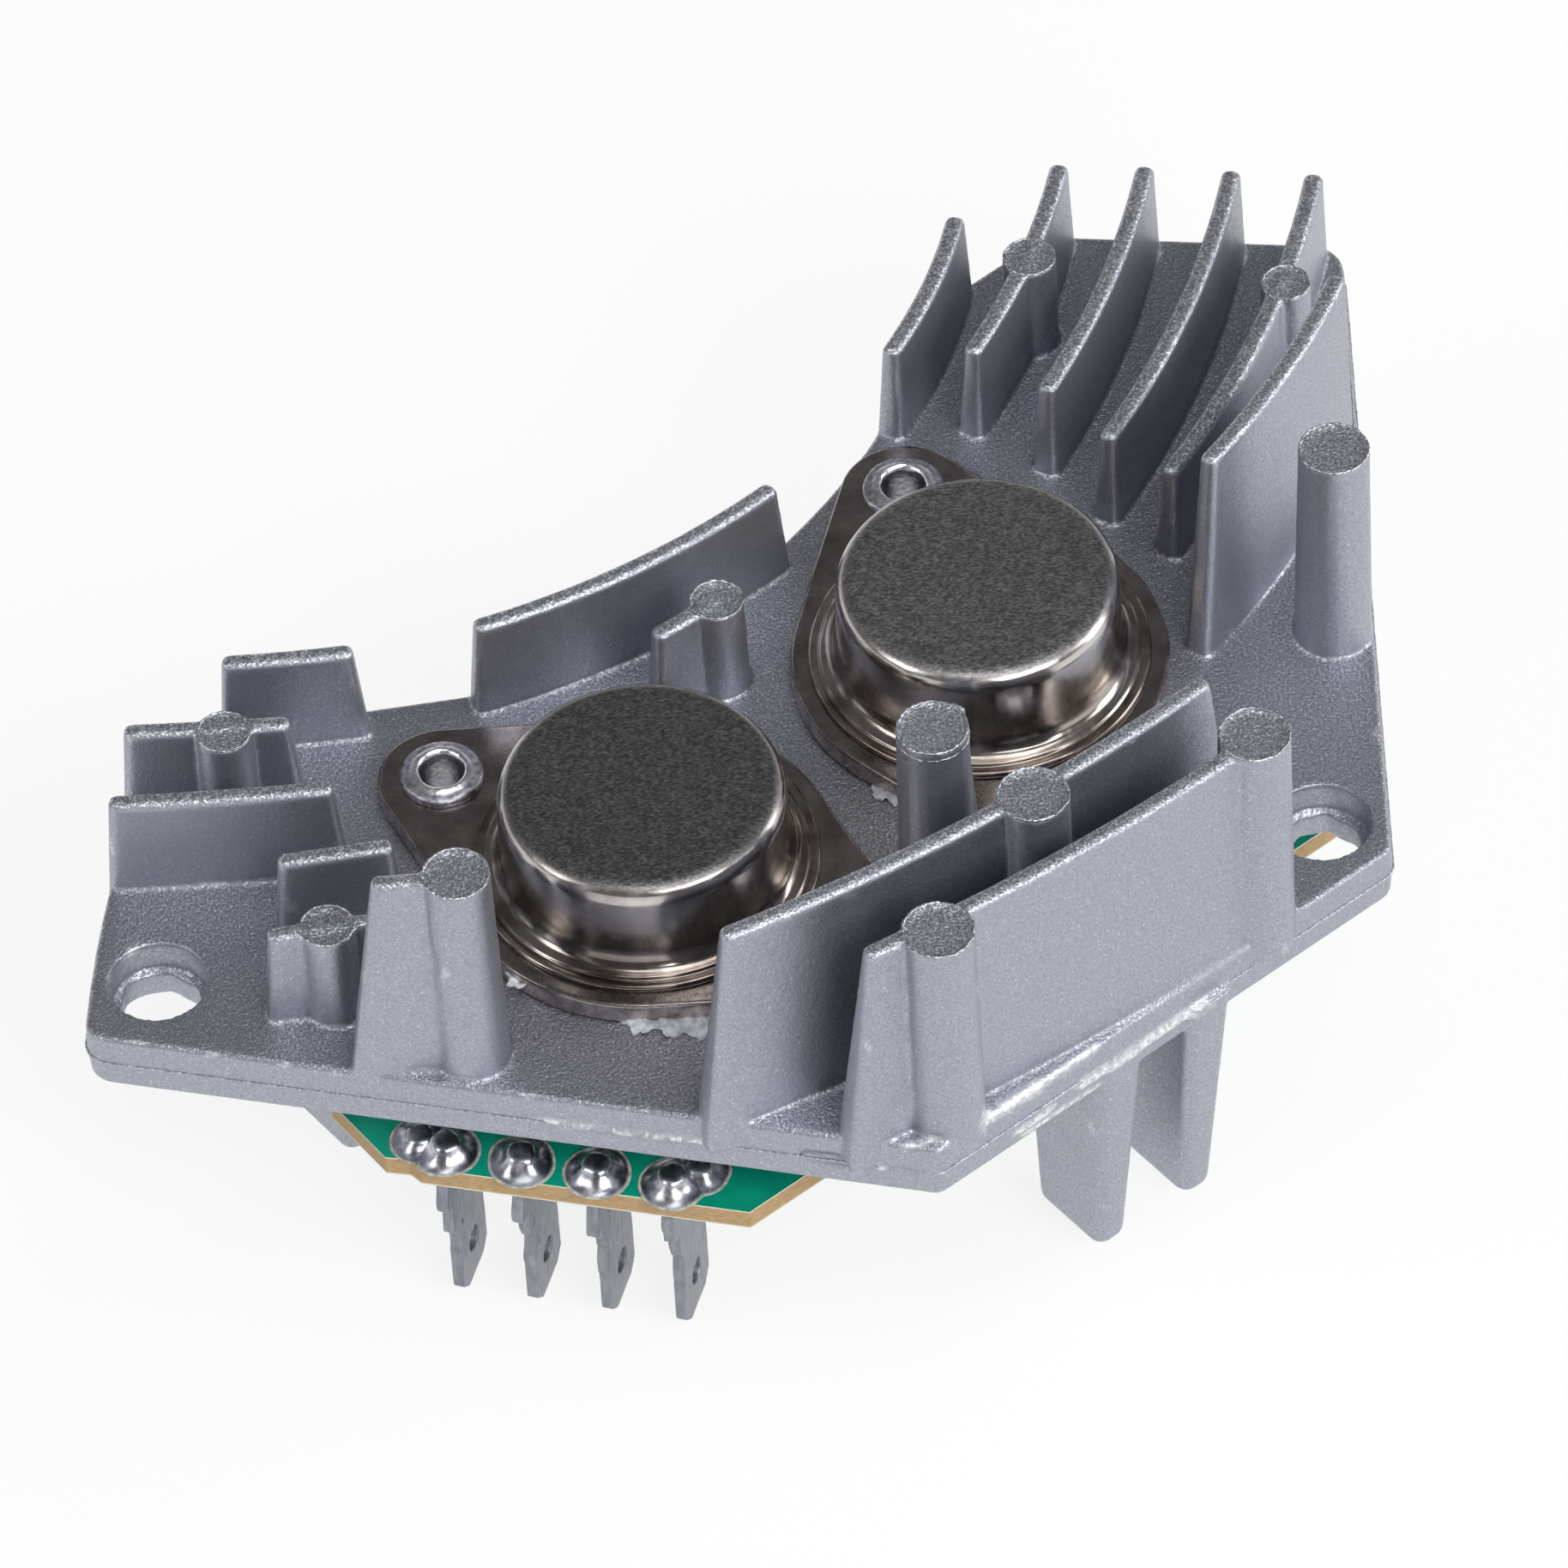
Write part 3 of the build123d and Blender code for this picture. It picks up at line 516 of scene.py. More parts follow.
join(given.outputs["Seed"], tear.inputs["W"])
thick = add("ShaderNodeMapRange")
for socket, number in zip(("From Min", "From Max", "To Min", "To Max"), (0.40, 0.64, 0.1, 1.7)):
    thick.inputs[socket].default_value = number
join(tear.outputs["Fac"], thick.inputs["Value"])
set_radius = add("GeometryNodeSetCurveRadius")
join(loose.outputs[0], set_radius.inputs["Curve"])
join(thick.outputs["Result"], set_radius.inputs["Radius"])
wire = add("GeometryNodeCurvePrimitiveCircle")
wire.inputs["Resolution"].default_value = 7
join(given.outputs["Rim thickness"], wire.inputs["Radius"])
sweep = add("GeometryNodeCurveToMesh")
join(set_radius.outputs[0], sweep.inputs["Curve"])
join(wire.outputs["Curve"], sweep.inputs["Profile Curve"])
shake = add("ShaderNodeTexNoise")
shake.noise_dimensions = "4D"
shake.inputs["Scale"].default_value = 3600
join(given.outputs["Seed"], shake.inputs["W"])
centred = add("ShaderNodeVectorMath")
centred.operation = "SUBTRACT"
centred.inputs[1].default_value = (0.5, 0.5, 0.5)
join(shake.outputs["Color"], centred.inputs[0])
shift = add("ShaderNodeVectorMath")
shift.operation = "SCALE"
join(centred.outputs[0], shift.inputs[0])
join(given.outputs["Raggedness"], shift.inputs["Scale"])
moved = add("GeometryNodeSetPosition")
join(sweep.outputs[0], moved.inputs["Geometry"])
join(shift.outputs[0], moved.inputs["Offset"])
smooth = add("GeometryNodeSetShadeSmooth")
join(moved.outputs[0], smooth.inputs[0])
whole = add("GeometryNodeRealizeInstances")
join(smooth.outputs[0], whole.inputs[0])
coat = add("GeometryNodeSetMaterial")
join(whole.outputs[0], coat.inputs["Geometry"])
join(given.outputs["Metal"], coat.inputs["Material"])
result = add("NodeGroupOutput")
join(coat.outputs[0], result.inputs[0])

burrs = rims.modifiers.new("burrs", "NODES")
burrs.node_group = rim_tree
burrs[thickness_in.identifier] = 0.085 * MM
burrs[ragged_in.identifier] = 0.26 * MM
burrs[seed_in.identifier] = 3.0
burrs[metal_in.identifier] = bright
rim_piece = plain(rims, "post_rims")
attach(rim_piece, "root")

# Flash on the parting line. The two halves of the die meet half way down the plate's edge,
# and the metal pressed between them stays as a fine torn line, heavier at the gates.

PARTING_Z = -2.13
band = merged("heat_sink")
whole_band = band.verts[:] + band.edges[:] + band.faces[:]
cut = bmesh.ops.bisect_plane(
    band, geom=whole_band, plane_co=(0, 0, PARTING_Z * MM), plane_no=(0, 0, 1)
)
edges = {e for e in cut["geom_cut"] if isinstance(e, bmesh.types.BMEdge)}
loops = []
while edges:
    edge = edges.pop()
    loop = [edge.verts[0], edge.verts[1]]
    while True:
        after = [e for e in loop[-1].link_edges if e in edges]
        if not after:
            break
        edges.discard(after[0])
        loop.append(after[0].other_vert(loop[-1]))
    loops.append([vertex.co.copy() for vertex in loop])
outline = max(loops, key=lambda points: sum((a - b).length for a, b in zip(points, points[1:])))
band.free()
line_data = bpy.data.meshes.new("parting_line")
line_data.from_pydata(outline, [(n, n + 1) for n in range(len(outline) - 1)], [])
line = bpy.data.objects.new("parting_line_source", line_data)
bpy.context.scene.collection.objects.link(line)

flash_tree = bpy.data.node_groups.new("parting_flash", "GeometryNodeTree")
sockets = flash_tree.interface
sockets.new_socket("Parting line", in_out="INPUT", socket_type="NodeSocketGeometry")
thickness_in = sockets.new_socket("Flash thickness", in_out="INPUT", socket_type="NodeSocketFloat")
ragged_in = sockets.new_socket("Raggedness", in_out="INPUT", socket_type="NodeSocketFloat")
seed_in = sockets.new_socket("Seed", in_out="INPUT", socket_type="NodeSocketFloat")
metal_in = sockets.new_socket("Metal", in_out="INPUT", socket_type="NodeSocketMaterial")
sockets.new_socket("Flash", in_out="OUTPUT", socket_type="NodeSocketGeometry")
add = flash_tree.nodes.new
join = flash_tree.links.new
given = add("NodeGroupInput")
to_curve = add("GeometryNodeMeshToCurve")
join(given.outputs["Parting line"], to_curve.inputs["Mesh"])
spaced = add("GeometryNodeResampleCurve")
spaced.mode = "LENGTH"
spaced.inputs["Length"].default_value = 0.12 * MM
join(to_curve.outputs[0], spaced.inputs["Curve"])
where = add("GeometryNodeInputPosition")
tear = add("ShaderNodeTexNoise")
tear.noise_dimensions = "4D"
tear.inputs["Scale"].default_value = 330
tear.inputs["Detail"].default_value = 5
join(where.outputs[0], tear.inputs["Vector"])
join(given.outputs["Seed"], tear.inputs["W"])
thick = add("ShaderNodeMapRange")
for socket, number in zip(("From Min", "From Max", "To Min", "To Max"), (0.42, 0.7, 0.12, 1.6)):
    thick.inputs[socket].default_value = number
join(tear.outputs["Fac"], thick.inputs["Value"])
set_radius = add("GeometryNodeSetCurveRadius")
join(spaced.outputs[0], set_radius.inputs["Curve"])
join(thick.outputs["Result"], set_radius.inputs["Radius"])
wire = add("GeometryNodeCurvePrimitiveCircle")
wire.inputs["Resolution"].default_value = 6
join(given.outputs["Flash thickness"], wire.inputs["Radius"])
sweep = add("GeometryNodeCurveToMesh")
join(set_radius.outputs[0], sweep.inputs["Curve"])
join(wire.outputs["Curve"], sweep.inputs["Profile Curve"])
shake = add("ShaderNodeTexNoise")
shake.noise_dimensions = "4D"
shake.inputs["Scale"].default_value = 2600
join(given.outputs["Seed"], shake.inputs["W"])
centred = add("ShaderNodeVectorMath")
centred.operation = "SUBTRACT"
centred.inputs[1].default_value = (0.5, 0.5, 0.5)
join(shake.outputs["Color"], centred.inputs[0])
shift = add("ShaderNodeVectorMath")
shift.operation = "SCALE"
join(centred.outputs[0], shift.inputs[0])
join(given.outputs["Raggedness"], shift.inputs["Scale"])
moved = add("GeometryNodeSetPosition")
join(sweep.outputs[0], moved.inputs["Geometry"])
join(shift.outputs[0], moved.inputs["Offset"])
smooth = add("GeometryNodeSetShadeSmooth")
join(moved.outputs[0], smooth.inputs[0])
whole = add("GeometryNodeRealizeInstances")
join(smooth.outputs[0], whole.inputs[0])
coat = add("GeometryNodeSetMaterial")
join(whole.outputs[0], coat.inputs["Geometry"])
join(given.outputs["Metal"], coat.inputs["Material"])
result = add("NodeGroupOutput")
join(coat.outputs[0], result.inputs[0])

flash = line.modifiers.new("flash", "NODES")
flash.node_group = flash_tree
flash[thickness_in.identifier] = 0.10 * MM
flash[ragged_in.identifier] = 0.12 * MM
flash[seed_in.identifier] = 7.0
flash[metal_in.identifier] = casting
flash_piece = plain(line, "parting_line_flash")
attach(flash_piece, "root")

# Thermal compound under the two headers: white grease, spread thin, that oozed out in
# lumps at three places along their edges when the rivets drew the headers down.

grease, tree, shader, place = finish("thermal_compound", (0.62, 0.64, 0.68), 0.0, 0.45)
lumps = grain(tree, place, 2.2, 3)
tree.links.new(
    graded(tree, lumps, [(0.35, (0.42, 0.43, 0.47)), (0.65, (0.72, 0.74, 0.78))]),
    shader.inputs["Base Color"],
)
roughened(tree, shader, lumps, 0.08, 0.6)
for number in (1, 2):
    layer = nodes[f"thermal_compound_{number}"]
    layer.data.materials.clear()
    layer.data.materials.append(grease)

SMEARS = [
    ("front", (-8.6, -8.6, 0.1), (-3.6, -9.9, 0.1), 44, 0.50),
    ("left", (-15.9, -3.6, 0.9), (-14.8, -4.9, 0.9), 12, 0.30),
    ("middle", (9.7, 8.4, 0.1), (10.8, 7.0, 0.1), 12, 0.36),
]
draw = random.Random(11)
for smear_name, start, end, count, size in SMEARS:
    blobs = bmesh.new()
    for number in range(count):
        share = draw.random()
        x = start[0] + (end[0] - start[0]) * share + draw.uniform(-0.3, 0.3)
        y = start[1] + (end[1] - start[1]) * share + draw.uniform(-0.5, 0.5)
        width = size * draw.uniform(0.4, 1.5)
        thick = width * draw.uniform(0.25, 0.6)
        flatten = Matrix.Diagonal((width * 1.7 * MM, width * 0.8 * MM, thick * MM, 1))
        spin = Matrix.Rotation(draw.uniform(0, math.pi), 4, "Z")
        spot = Matrix.Translation((x * MM, y * MM, start[2] * MM))
        bmesh.ops.create_icosphere(blobs, subdivisions=2, radius=1, matrix=spot @ spin @ flatten)
    smear = recast(f"compound_smear_{smear_name}", blobs, voxel_mm=0.08, rounds=1)
    for vertex in smear.data.vertices:
        ragged = noise.noise_vector(vertex.co * 1300) * 0.22
        ragged += noise.noise_vector(vertex.co * 3200) * 0.08
        vertex.co += ragged * MM
    smear.data.materials.append(grease)
    smear.data.shade_smooth()
    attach(smear, "root")

# Headers of the two power transistors: stamped steel, nickel plated, with a brownish cast
# and soft stamped edges, held flat on the plate by the rivets.

plating, tree, shader, place = finish("nickel_header", (0.30, 0.28, 0.265), 1.0, 0.34)
cast = grain(tree, place, 0.45, 2)
nickel_tones = [
    (0.3, (0.19, 0.17, 0.163)), (0.55, (0.27, 0.243, 0.235)), (0.75, (0.34, 0.31, 0.297)),
]
header_skin = graded(tree, cast, nickel_tones)
geometry = tree.nodes.new("ShaderNodeNewGeometry")
facing = tree.nodes.new("ShaderNodeSeparateXYZ")
tree.links.new(geometry.outputs["Normal"], facing.inputs[0])
# Painted light: faces that stand on edge are painted lighter, in place of light on the header's shaded
# sides.
edgeways = scaled(tree, facing.outputs["Z"], 0.2, 0.8, 1.0, 0.0)
lit_side_tones = [(0.35, (0.36, 0.31, 0.30)), (0.65, (0.62, 0.55, 0.53))]
painted_lit_side = graded(tree, grain(tree, place, 0.9, 3), lit_side_tones)
tree.links.new(mixed(tree, edgeways, header_skin, painted_lit_side), shader.inputs["Base Color"])
tree.links.new(scaled(tree, grain(tree, place, 3.5, 3), 0.3, 0.7, 0.2, 0.32), shader.inputs["Roughness"])
roughened(tree, shader, grain(tree, place, 6.0, 2), 0.006, 0.5)
for number in (1, 2):
    rough_header = merged(f"transistor_header_{number}")
    header = recast("header_dense", rough_header, voxel_mm=0.12, rounds=3)
    header = thinned(header, share=0.25, name=f"header_{number}")
    header.data.materials.append(plating)
    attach(header, "root")
    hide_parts(f"transistor_header_{number}")

# Caps of the two power transistors: drawn from nickel plated steel, bright on the rounded
# shoulder, browner and darker toward the weld flange, and blasted to a dark satin on top, its
# darkness partly a painted dark reflection, painted lighter on the second cap.

# Caps: place, turn and the painted light level of the satin top. Heights are in millimetres above the plate.
CAPS = [(-5.65, 3.18, 141.9, 1.0), (18.14, 17.14, 100.1, 1.45)]
SATIN_FROM = 8.42
SATIN_FULL = 8.74
BROWN_FULL = 2.0
BROWN_TO = 7.6
DENTED_FROM = 2.2
DENTED_TO = 8.0
DENTED_OUTSIDE = 9.0


def rounded(start, corner, end, steps):
    """Points of a soft corner between two points of an outline."""
    points = []
    for step in range(steps + 1):
        t = step / steps
        a, b, c = (1 - t) ** 2, 2 * t * (1 - t), t * t
        points.append(tuple(a * p + b * q + c * r for p, q, r in zip(start, corner, end)))
    return points


outer = [(9.9, 1.62), (11.1, 1.62)]
outer += rounded((11.16, 1.66), (11.2, 2.0), (11.0, 2.03), 4)
outer += [(10.78, 2.05), (10.66, 2.02)]
outer += rounded((10.56, 2.0), (10.46, 2.0), (10.40, 2.14), 3)
outer += rounded((10.30, 2.18), (9.36, 2.28), (9.27, 3.6), 12)
outer += [(9.25, 4.6), (9.24, 5.7), (9.23, 6.7)]
outer += rounded((9.22, 7.45), (9.22, 8.81), (7.85, 8.815), 14)
outer += [(7.0, 8.82), (5.5, 8.822), (3.0, 8.824), (0, 8.825)]
inner = [(0, 8.32), (6.0, 8.32), (8.2, 8.25), (8.72, 7.6), (8.74, 1.62)]
for number, (x, y, angle, painted_top_light) in enumerate(CAPS, 1):
    nickel, tree, shader, place = finish(f"nickel_cap_{number}", (0.62, 0.58, 0.55), 1.0, 0.16)
    height = tree.nodes.new("ShaderNodeSeparateXYZ")
    tree.links.new(place, height.inputs[0])
    on_top = scaled(tree, height.outputs["Z"], SATIN_FROM * MM, SATIN_FULL * MM, 0.0, 1.0)
    blast = grain(tree, place, 5.4, 3, (0.7, 1.3, 1))
    # Satin top tones: partly the blasted finish, partly a painted dark reflection, scaled by each cap's
    # painted light level.
    levels = ((0.34, 0.09), (0.5, 0.155), (0.68, 0.27))
    satin = []
    for stop, level in levels:
        tone = level * painted_top_light
        satin.append((stop, (tone, tone * 0.985, tone)))
    # The side turns browner and darker toward the weld flange.
    low_down = scaled(tree, height.outputs["Z"], BROWN_FULL * MM, BROWN_TO * MM, 1.0, 0.0)
    bright_tones = [(0.35, (0.40, 0.37, 0.35)), (0.6, (0.62, 0.59, 0.57))]
    brown_tones = [(0.35, (0.15, 0.122, 0.108)), (0.62, (0.42, 0.37, 0.335))]
    bright_side = graded(tree, grain(tree, place, 0.25, 3), bright_tones)
    brown_side = graded(tree, grain(tree, place, 0.3, 4), brown_tones)
    side_skin = mixed(tree, low_down, bright_side, brown_side)
    cap_skin = mixed(tree, on_top, side_skin, graded(tree, blast, satin))
    tree.links.new(cap_skin, shader.inputs["Base Color"])
    dull = scaled(tree, grain(tree, place, 1.5, 4), 0.3, 0.7, 0.13, 0.24)
    dull = summed(tree, "ADD", summed(tree, "MULTIPLY", on_top, 0.26), dull)
    tree.links.new(dull, shader.inputs["Roughness"])
    roughened(tree, shader, summed(tree, "MULTIPLY", blast, on_top), 0.03, 0.7)
    cap = turned(f"cap_{number}", outer + inner, 160, True)
    for vertex in cap.data.vertices:
        flat = Vector((vertex.co.x, vertex.co.y, 0))
        level = vertex.co.z / MM
        if DENTED_FROM < level < DENTED_TO and flat.length / MM > DENTED_OUTSIDE:
            at = Vector((vertex.co.x * 200, vertex.co.y * 200, vertex.co.z * 130 + number * 7))
            vertex.co += flat.normalized() * noise.noise(at) * 0.03 * MM
    put(cap, x, y, angle)
    cap.data.materials.append(nickel)
    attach(cap, "root")
    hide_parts(f"transistor_cap_{number}")

# Inside the caps: glass sealed pins, and the silicon chip on its copper spreader.

glass, tree, shader, place = finish("seal_glass", (0.10, 0.16, 0.12), 0.0, 0.15)
tree.links.new(
    graded(tree, grain(tree, place, 2.0, 2), [(0.4, (0.07, 0.12, 0.09)), (0.65, (0.14, 0.22, 0.17))]),
    shader.inputs["Base Color"],
)
copper, tree, shader, place = finish("spreader_copper", (0.72, 0.34, 0.20), 1.0, 0.35)
tree.links.new(
    graded(tree, grain(tree, place, 1.5, 4), [(0.35, (0.60, 0.27, 0.15)), (0.65, (0.80, 0.42, 0.26))]),
    shader.inputs["Base Color"],
)
silicon, tree, shader, place = finish("chip_silicon", (0.09, 0.10, 0.13), 0.3, 0.18)
tree.links.new(
    graded(tree, grain(tree, place, 3.0, 1), [(0.4, (0.07, 0.08, 0.11)), (0.6, (0.13, 0.14, 0.18))]),
    shader.inputs["Base Color"],
)
pin_metal, tree, shader, place = finish("pin_nickel", (0.60, 0.57, 0.53), 1.0, 0.25)
tree.links.new(scaled(tree, grain(tree, place, 4.0, 3), 0.3, 0.7, 0.2, 0.4), shader.inputs["Roughness"])
for number in (1, 2):
    for node_name, material in (
        (f"pin_seals_{number}", glass),
        (f"chip_spreader_{number}", copper),
        (f"transistor_chip_{number}", silicon),
        (f"transistor_pins_{number}", pin_metal),
    ):
        nodes[node_name].data.materials.clear()
        nodes[node_name].data.materials.append(material)

# Circuit board: glass laminate with green mask, hung under the plate. The sawn edge shows
# the tan laminate between two pale lines of copper clad resin.

BOARD_MIDDLE = -10.3
laminate, tree, shader, place = finish("board_laminate", (0.55, 0.36, 0.16), 0.0, 0.5)
facing = tree.nodes.new("ShaderNodeNewGeometry")
facing_z = tree.nodes.new("ShaderNodeSeparateXYZ")
tree.links.new(facing.outputs["Normal"], facing_z.inputs[0])
flat = summed(tree, "GREATER_THAN", summed(tree, "ABSOLUTE", facing_z.outputs["Z"], 0.0), 0.6)
level = tree.nodes.new("ShaderNodeSeparateXYZ")
tree.links.new(place, level.inputs[0])
off_middle = summed(tree, "ADD", level.outputs["Z"], -BOARD_MIDDLE * MM)
off_middle = summed(tree, "ABSOLUTE", off_middle, 0.0)
pale = scaled(tree, off_middle, 0.66 * MM, 0.71 * MM, 0.0, 1.0)
fibres = grain(tree, place, 2.4, 4, (1, 1, 4))
tans = [(0.3, (0.37, 0.235, 0.10)), (0.55, (0.46, 0.31, 0.15)), (0.75, (0.54, 0.39, 0.21))]
greens = [(0.3, (0.0, 0.27, 0.17)), (0.7, (0.004, 0.35, 0.225))]
sawn = mixed(tree, pale, graded(tree, fibres, tans), (0.70, 0.66, 0.52))
mask = graded(tree, grain(tree, place, 0.5, 3), greens)
tree.links.new(mixed(tree, flat, sawn, mask), shader.inputs["Base Color"])
gloss = summed(tree, "SUBTRACT", 0.62, summed(tree, "MULTIPLY", flat, 0.36))
tree.links.new(gloss, shader.inputs["Roughness"])
roughened(tree, shader, fibres, 0.03, 0.3)
board = nodes["circuit_board"]
board.data.materials.clear()
board.data.materials.append(laminate)

# Eyelet rivets: four tubular rivets of tinned brass that hold header, plate and board
# together. Rolling them over left the flange dull and its inner lip bright; the bore is painted bright too,
# a painted reflection.

RIVETS = [(-17.63, 12.57), (6.33, -6.21), (15.47, 32.13), (20.81, 2.15)]
ROLLED_ABOVE = 1.61
LIP_RADIUS = 2.15
tube, tree, shader, place = finish("rivet_metal", (0.66, 0.66, 0.70), 1.0, 0.3)
rolled = grain(tree, place, 2.6, 4)
# Inside the lip radius: burnished rolled lip, and a painted reflection that lights the bore.
burnish_and_bore_light = tree.nodes.new("ShaderNodeAttribute")
burnish_and_bore_light.attribute_name = "burnish_and_bore_light"
dull_tones = [(0.32, (0.24, 0.235, 0.27)), (0.5, (0.42, 0.41, 0.46)), (0.7, (0.66, 0.65, 0.70))]
dull = graded(tree, rolled, dull_tones)
burnished_and_painted_bright = graded(tree, rolled, [(0.35, (0.66, 0.66, 0.70)), (0.6, (0.97, 0.97, 0.98))])
tree.links.new(mixed(tree, burnish_and_bore_light.outputs["Fac"], dull, burnished_and_painted_bright), shader.inputs["Base Color"])
tree.links.new(scaled(tree, burnish_and_bore_light.outputs["Fac"], 0.0, 1.0, 0.42, 0.24), shader.inputs["Roughness"])
roughened(tree, shader, rolled, 0.06, 0.6)
eyelet = [(1.4, -11.8), (1.4, -6.0), (1.4, 1.2), (1.4, 1.9)]
eyelet += rounded((1.42, 2.0), (1.46, 2.40), (1.80, 2.40), 5)
eyelet += [(2.02, 2.26), (2.2, 2.20), (2.45, 2.17)]
eyelet += rounded((2.55, 2.12), (2.74, 2.05), (2.74, 1.63), 5)
eyelet += [(1.95, 1.62), (1.95, -11.1), (2.6, -11.1)]
eyelet += rounded((2.6, -11.14), (2.56, -11.72), (2.1, -11.8), 4)
for number, (x, y) in enumerate(RIVETS, 1):
    rivet = turned(f"eyelet_rivet_{number}", eyelet, 72, True)
    share = rivet.data.attributes.new("burnish_and_bore_light", "FLOAT", "POINT")
    for vertex in rivet.data.vertices:
        out = Vector((vertex.co.x, vertex.co.y, 0)).length / MM
        share.data[vertex.index].value = min(1.0, max(0.0, (LIP_RADIUS - out) / 0.3))
        if vertex.co.z / MM > ROLLED_ABOVE:
            spot = vertex.co * 900 + Vector((number * 9, 0, 0))
            vertex.co += Vector(noise.noise_vector(spot)) * 0.06 * MM
    put(rivet, x, y, 0)
    rivet.data.materials.append(tube)
    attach(rivet, "root")
    if number == 1:
        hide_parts("eyelet_rivets")

# Blade terminals: stamped from tin plated brass, matt grey, with torn barbs at their
# shoulders where the punch pulled the metal, pushed through the board from below.

ROW_X = -19.85
ROW_Y = -7.22
ROW_PITCH = 4.93
ROW_TURN = math.radians(-20.8)
BLADE_TURN = math.radians(65.0)
BARB_BEHIND = -1.7
BARB_ABOVE = -19.5
TAIL_TOP = -8.5
ROW = []
for n in range(4):
    along_row = ROW_PITCH * n
    ROW.append((ROW_X + along_row * math.cos(ROW_TURN), ROW_Y + along_row * math.sin(ROW_TURN)))
tin, tree, shader, place = finish("tinned_blade", (0.34, 0.345, 0.37), 0.8, 0.42)
drawn = grain(tree, place, 1.2, 4, (2, 2, 0.5))
tin_tones = [
    (0.3, (0.22, 0.225, 0.255)), (0.55, (0.28, 0.287, 0.325)), (0.8, (0.36, 0.37, 0.41)),
]
tree.links.new(graded(tree, drawn, tin_tones), shader.inputs["Base Color"])
roughened(tree, shader, grain(tree, place, 5.0, 3), 0.02, 0.5)
long_way = Vector((math.cos(BLADE_TURN), math.sin(BLADE_TURN), 0))
for number, (x, y) in enumerate(ROW, 1):
    rough_blade = merged(f"blade_terminal_{number}")
    blade = recast("blade_dense", rough_blade, voxel_mm=0.085, rounds=3)
    blade = thinned(blade, share=0.4, name=f"blade_{number}")
    for vertex in blade.data.vertices:
        u = (vertex.co - Vector((x * MM, y * MM, 0))).dot(long_way) / MM
        torn = noise.noise(Vector((number * 3.0, u * 0.5, vertex.co.z * 480)))
        if u < BARB_BEHIND and vertex.co.z / MM > BARB_ABOVE:
            vertex.co += long_way * torn * 0.75 * MM
        vertex.co += noise.noise_vector(vertex.co * 700) * 0.02 * MM
        vertex.co.z = min(vertex.co.z, TAIL_TOP * MM)
    blade.data.materials.append(tin)
    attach(blade, "root")
    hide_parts(f"blade_terminal_{number}")

# Solder of the terminals: a hand soldered cone at each tail, star shaped where it drew up
# the square tail, on a round pad with a pale rim, and two spills beside the row.

solder, tree, shader, place = finish("solder", (0.60, 0.60, 0.64), 1.0, 0.17)
frost = grain(tree, place, 1.2, 3)
metal_tones = [(0.35, (0.34, 0.34, 0.38)), (0.55, (0.52, 0.52, 0.57)), (0.75, (0.78, 0.78, 0.82))]
metal = graded(tree, frost, metal_tones)
rim_share = tree.nodes.new("ShaderNodeAttribute")
rim_share.attribute_name = "rim"
pale_rim = graded(tree, grain(tree, place, 2.5, 3), [(0.4, (0.33, 0.35, 0.31)), (0.62, (0.62, 0.62, 0.56))])
tree.links.new(mixed(tree, rim_share.outputs["Fac"], metal, pale_rim), shader.inputs["Base Color"])
tree.links.new(summed(tree, "SUBTRACT", 1.0, rim_share.outputs["Fac"]), shader.inputs["Metallic"])
tree.links.new(scaled(tree, frost, 0.4, 0.8, 0.22, 0.42), shader.inputs["Roughness"])
PAD_TOP = -9.455
RIM_RADIUS = 2.02
CONE_RISE = 1.15
TAIL_OFF = 2.2
REAR_WIDTH = 0.84
cone = [(0, -9.495), (1.0, -9.495), (2.2, -9.495), (2.24, -9.47), (2.2, PAD_TOP), (2.08, PAD_TOP)]
cone += rounded((2.04, -9.44), (1.5, -9.25), (1.1, -8.75), 9)
cone += rounded((1.05, -8.69), (0.9, -8.34), (0.5, -8.32), 5)
cone += [(0, -8.30)]
SPILLS = [("left", -22.3, -8.1, 0.90, 0.70), ("right", -5.1, -13.85, 0.88, 0.76)]
joints = []
for n, (x, y) in enumerate(ROW, 1):
    for end, u, wide in (("front", -TAIL_OFF, 1.0), ("rear", TAIL_OFF, REAR_WIDTH)):
        spot = (x + u * math.cos(BLADE_TURN), y + u * math.sin(BLADE_TURN))
        joints.append((f"solder_joint_{n}_{end}", *spot, wide, 1.0))
for side, x, y, wide, tall in SPILLS:
    joints.append((f"solder_spill_{side}", x, y, wide, tall))
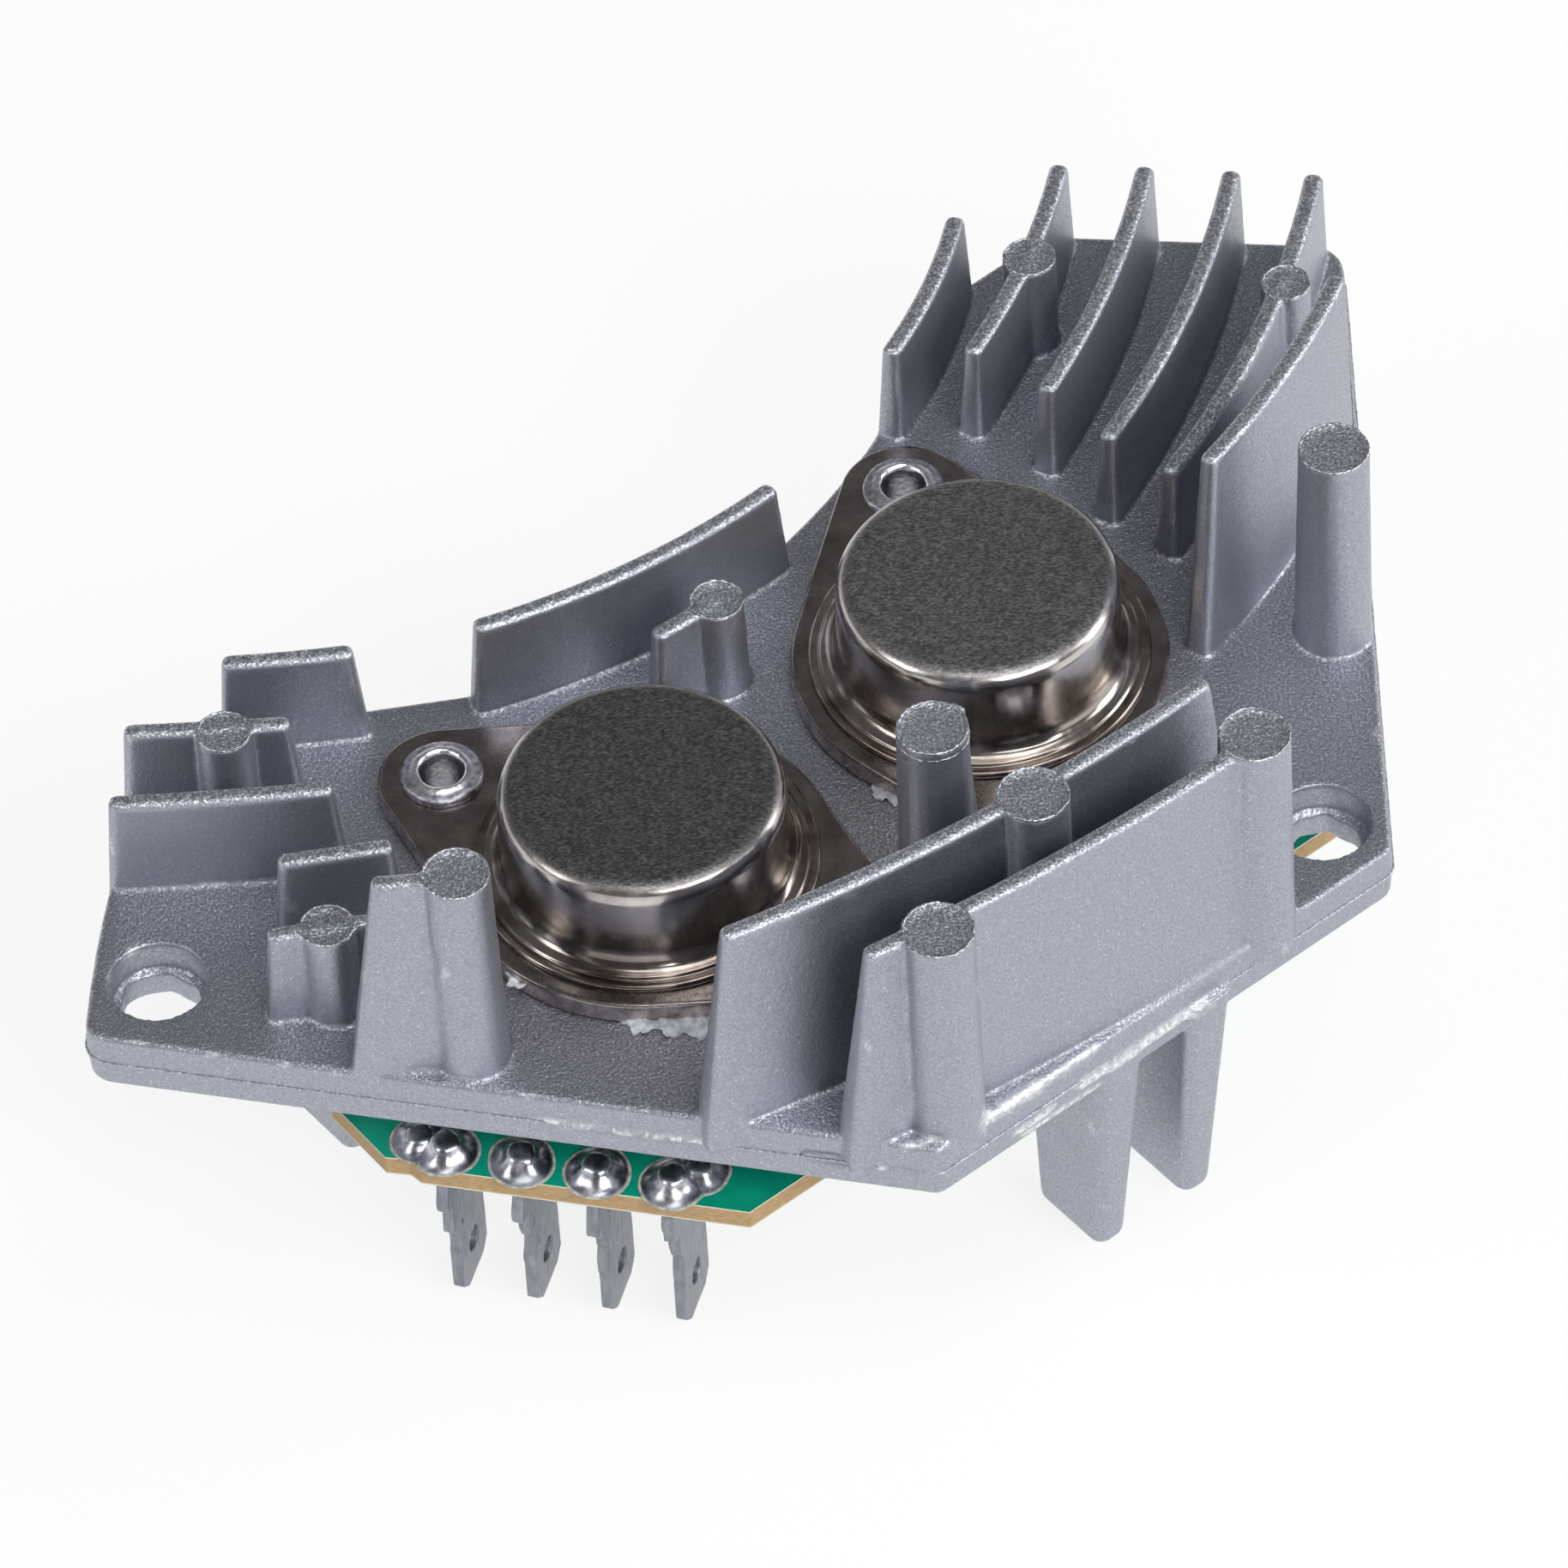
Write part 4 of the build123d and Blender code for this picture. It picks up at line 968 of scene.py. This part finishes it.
for number, (joint_name, x, y, wide, tall) in enumerate(joints):
    bead = turned(joint_name, cone, 72, False)
    share = bead.data.attributes.new("rim", "FLOAT", "POINT")
    for vertex in bead.data.vertices:
        flat = Vector((vertex.co.x, vertex.co.y, 0))
        share.data[vertex.index].value = min(1.0, max(0.0, (flat.length / MM - RIM_RADIUS) / 0.06))
        turn = math.atan2(vertex.co.y, vertex.co.x)
        rise = max(0.0, (vertex.co.z / MM - PAD_TOP) / CONE_RISE)
        fold = math.cos(4 * turn + number) * 0.07 + math.cos(7 * turn + 2 * number) * 0.02
        vertex.co += flat * fold * min(1.0, rise * 2.2) * (1 - 0.7 * rise)
        outline = noise.noise(Vector((math.cos(turn), math.sin(turn), number * 2.0))) * 0.08
        vertex.co += flat * outline * (1 - min(1.0, rise))
        spot = vertex.co * 650 + Vector((number * 5, 0, 0))
        vertex.co.z += noise.noise(spot) * 0.10 * MM * min(1.0, rise * 2)
        vertex.co.x *= wide
        vertex.co.y *= wide
        vertex.co.z = (PAD_TOP + (vertex.co.z / MM - PAD_TOP) * tall) * MM
    put(bead, x, y, 65)
    bead.data.materials.append(solder)
    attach(bead, "root")
    if number == 0:
        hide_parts("terminal_solder")

# Solder of the transistor pins, on the underside of the board.

joint = nodes["pin_solder"]
joint.data.materials.clear()
joint.data.materials.append(solder)

# Driver circuit and small parts on the underside: black moulded driver with tinned leads,
# aluminium can on its base, moulded diode, sense and chip resistors.

moulding, tree, shader, place = finish("black_moulding", (0.028, 0.028, 0.030), 0.0, 0.5)
tree.links.new(
    graded(tree, grain(tree, place, 3.0, 4), [(0.3, (0.020, 0.020, 0.022)), (0.7, (0.045, 0.045, 0.048))]),
    shader.inputs["Base Color"],
)
roughened(tree, shader, grain(tree, place, 6.0, 2), 0.02, 0.6)
can_metal, tree, shader, place = finish("can_aluminium", (0.70, 0.71, 0.73), 1.0, 0.28)
drawn_up = grain(tree, place, 3.0, 3, (1, 1, 0.2))
tree.links.new(scaled(tree, drawn_up, 0.3, 0.7, 0.2, 0.38), shader.inputs["Roughness"])
ceramic, tree, shader, place = finish("resistor_ceramic", (0.03, 0.03, 0.034), 0.0, 0.35)
tree.links.new(
    graded(tree, grain(tree, place, 4.0, 2), [(0.3, (0.018, 0.018, 0.022)), (0.7, (0.05, 0.05, 0.055))]),
    shader.inputs["Base Color"],
)
for node_name, material in (
    ("driver_circuit", moulding),
    ("driver_leads", tin),
    ("capacitor_can", can_metal),
    ("capacitor_base", moulding),
    ("protection_diode", moulding),
    ("sense_resistors", ceramic),
    ("chip_resistors", ceramic),
):
    nodes[node_name].data.materials.clear()
    nodes[node_name].data.materials.append(material)
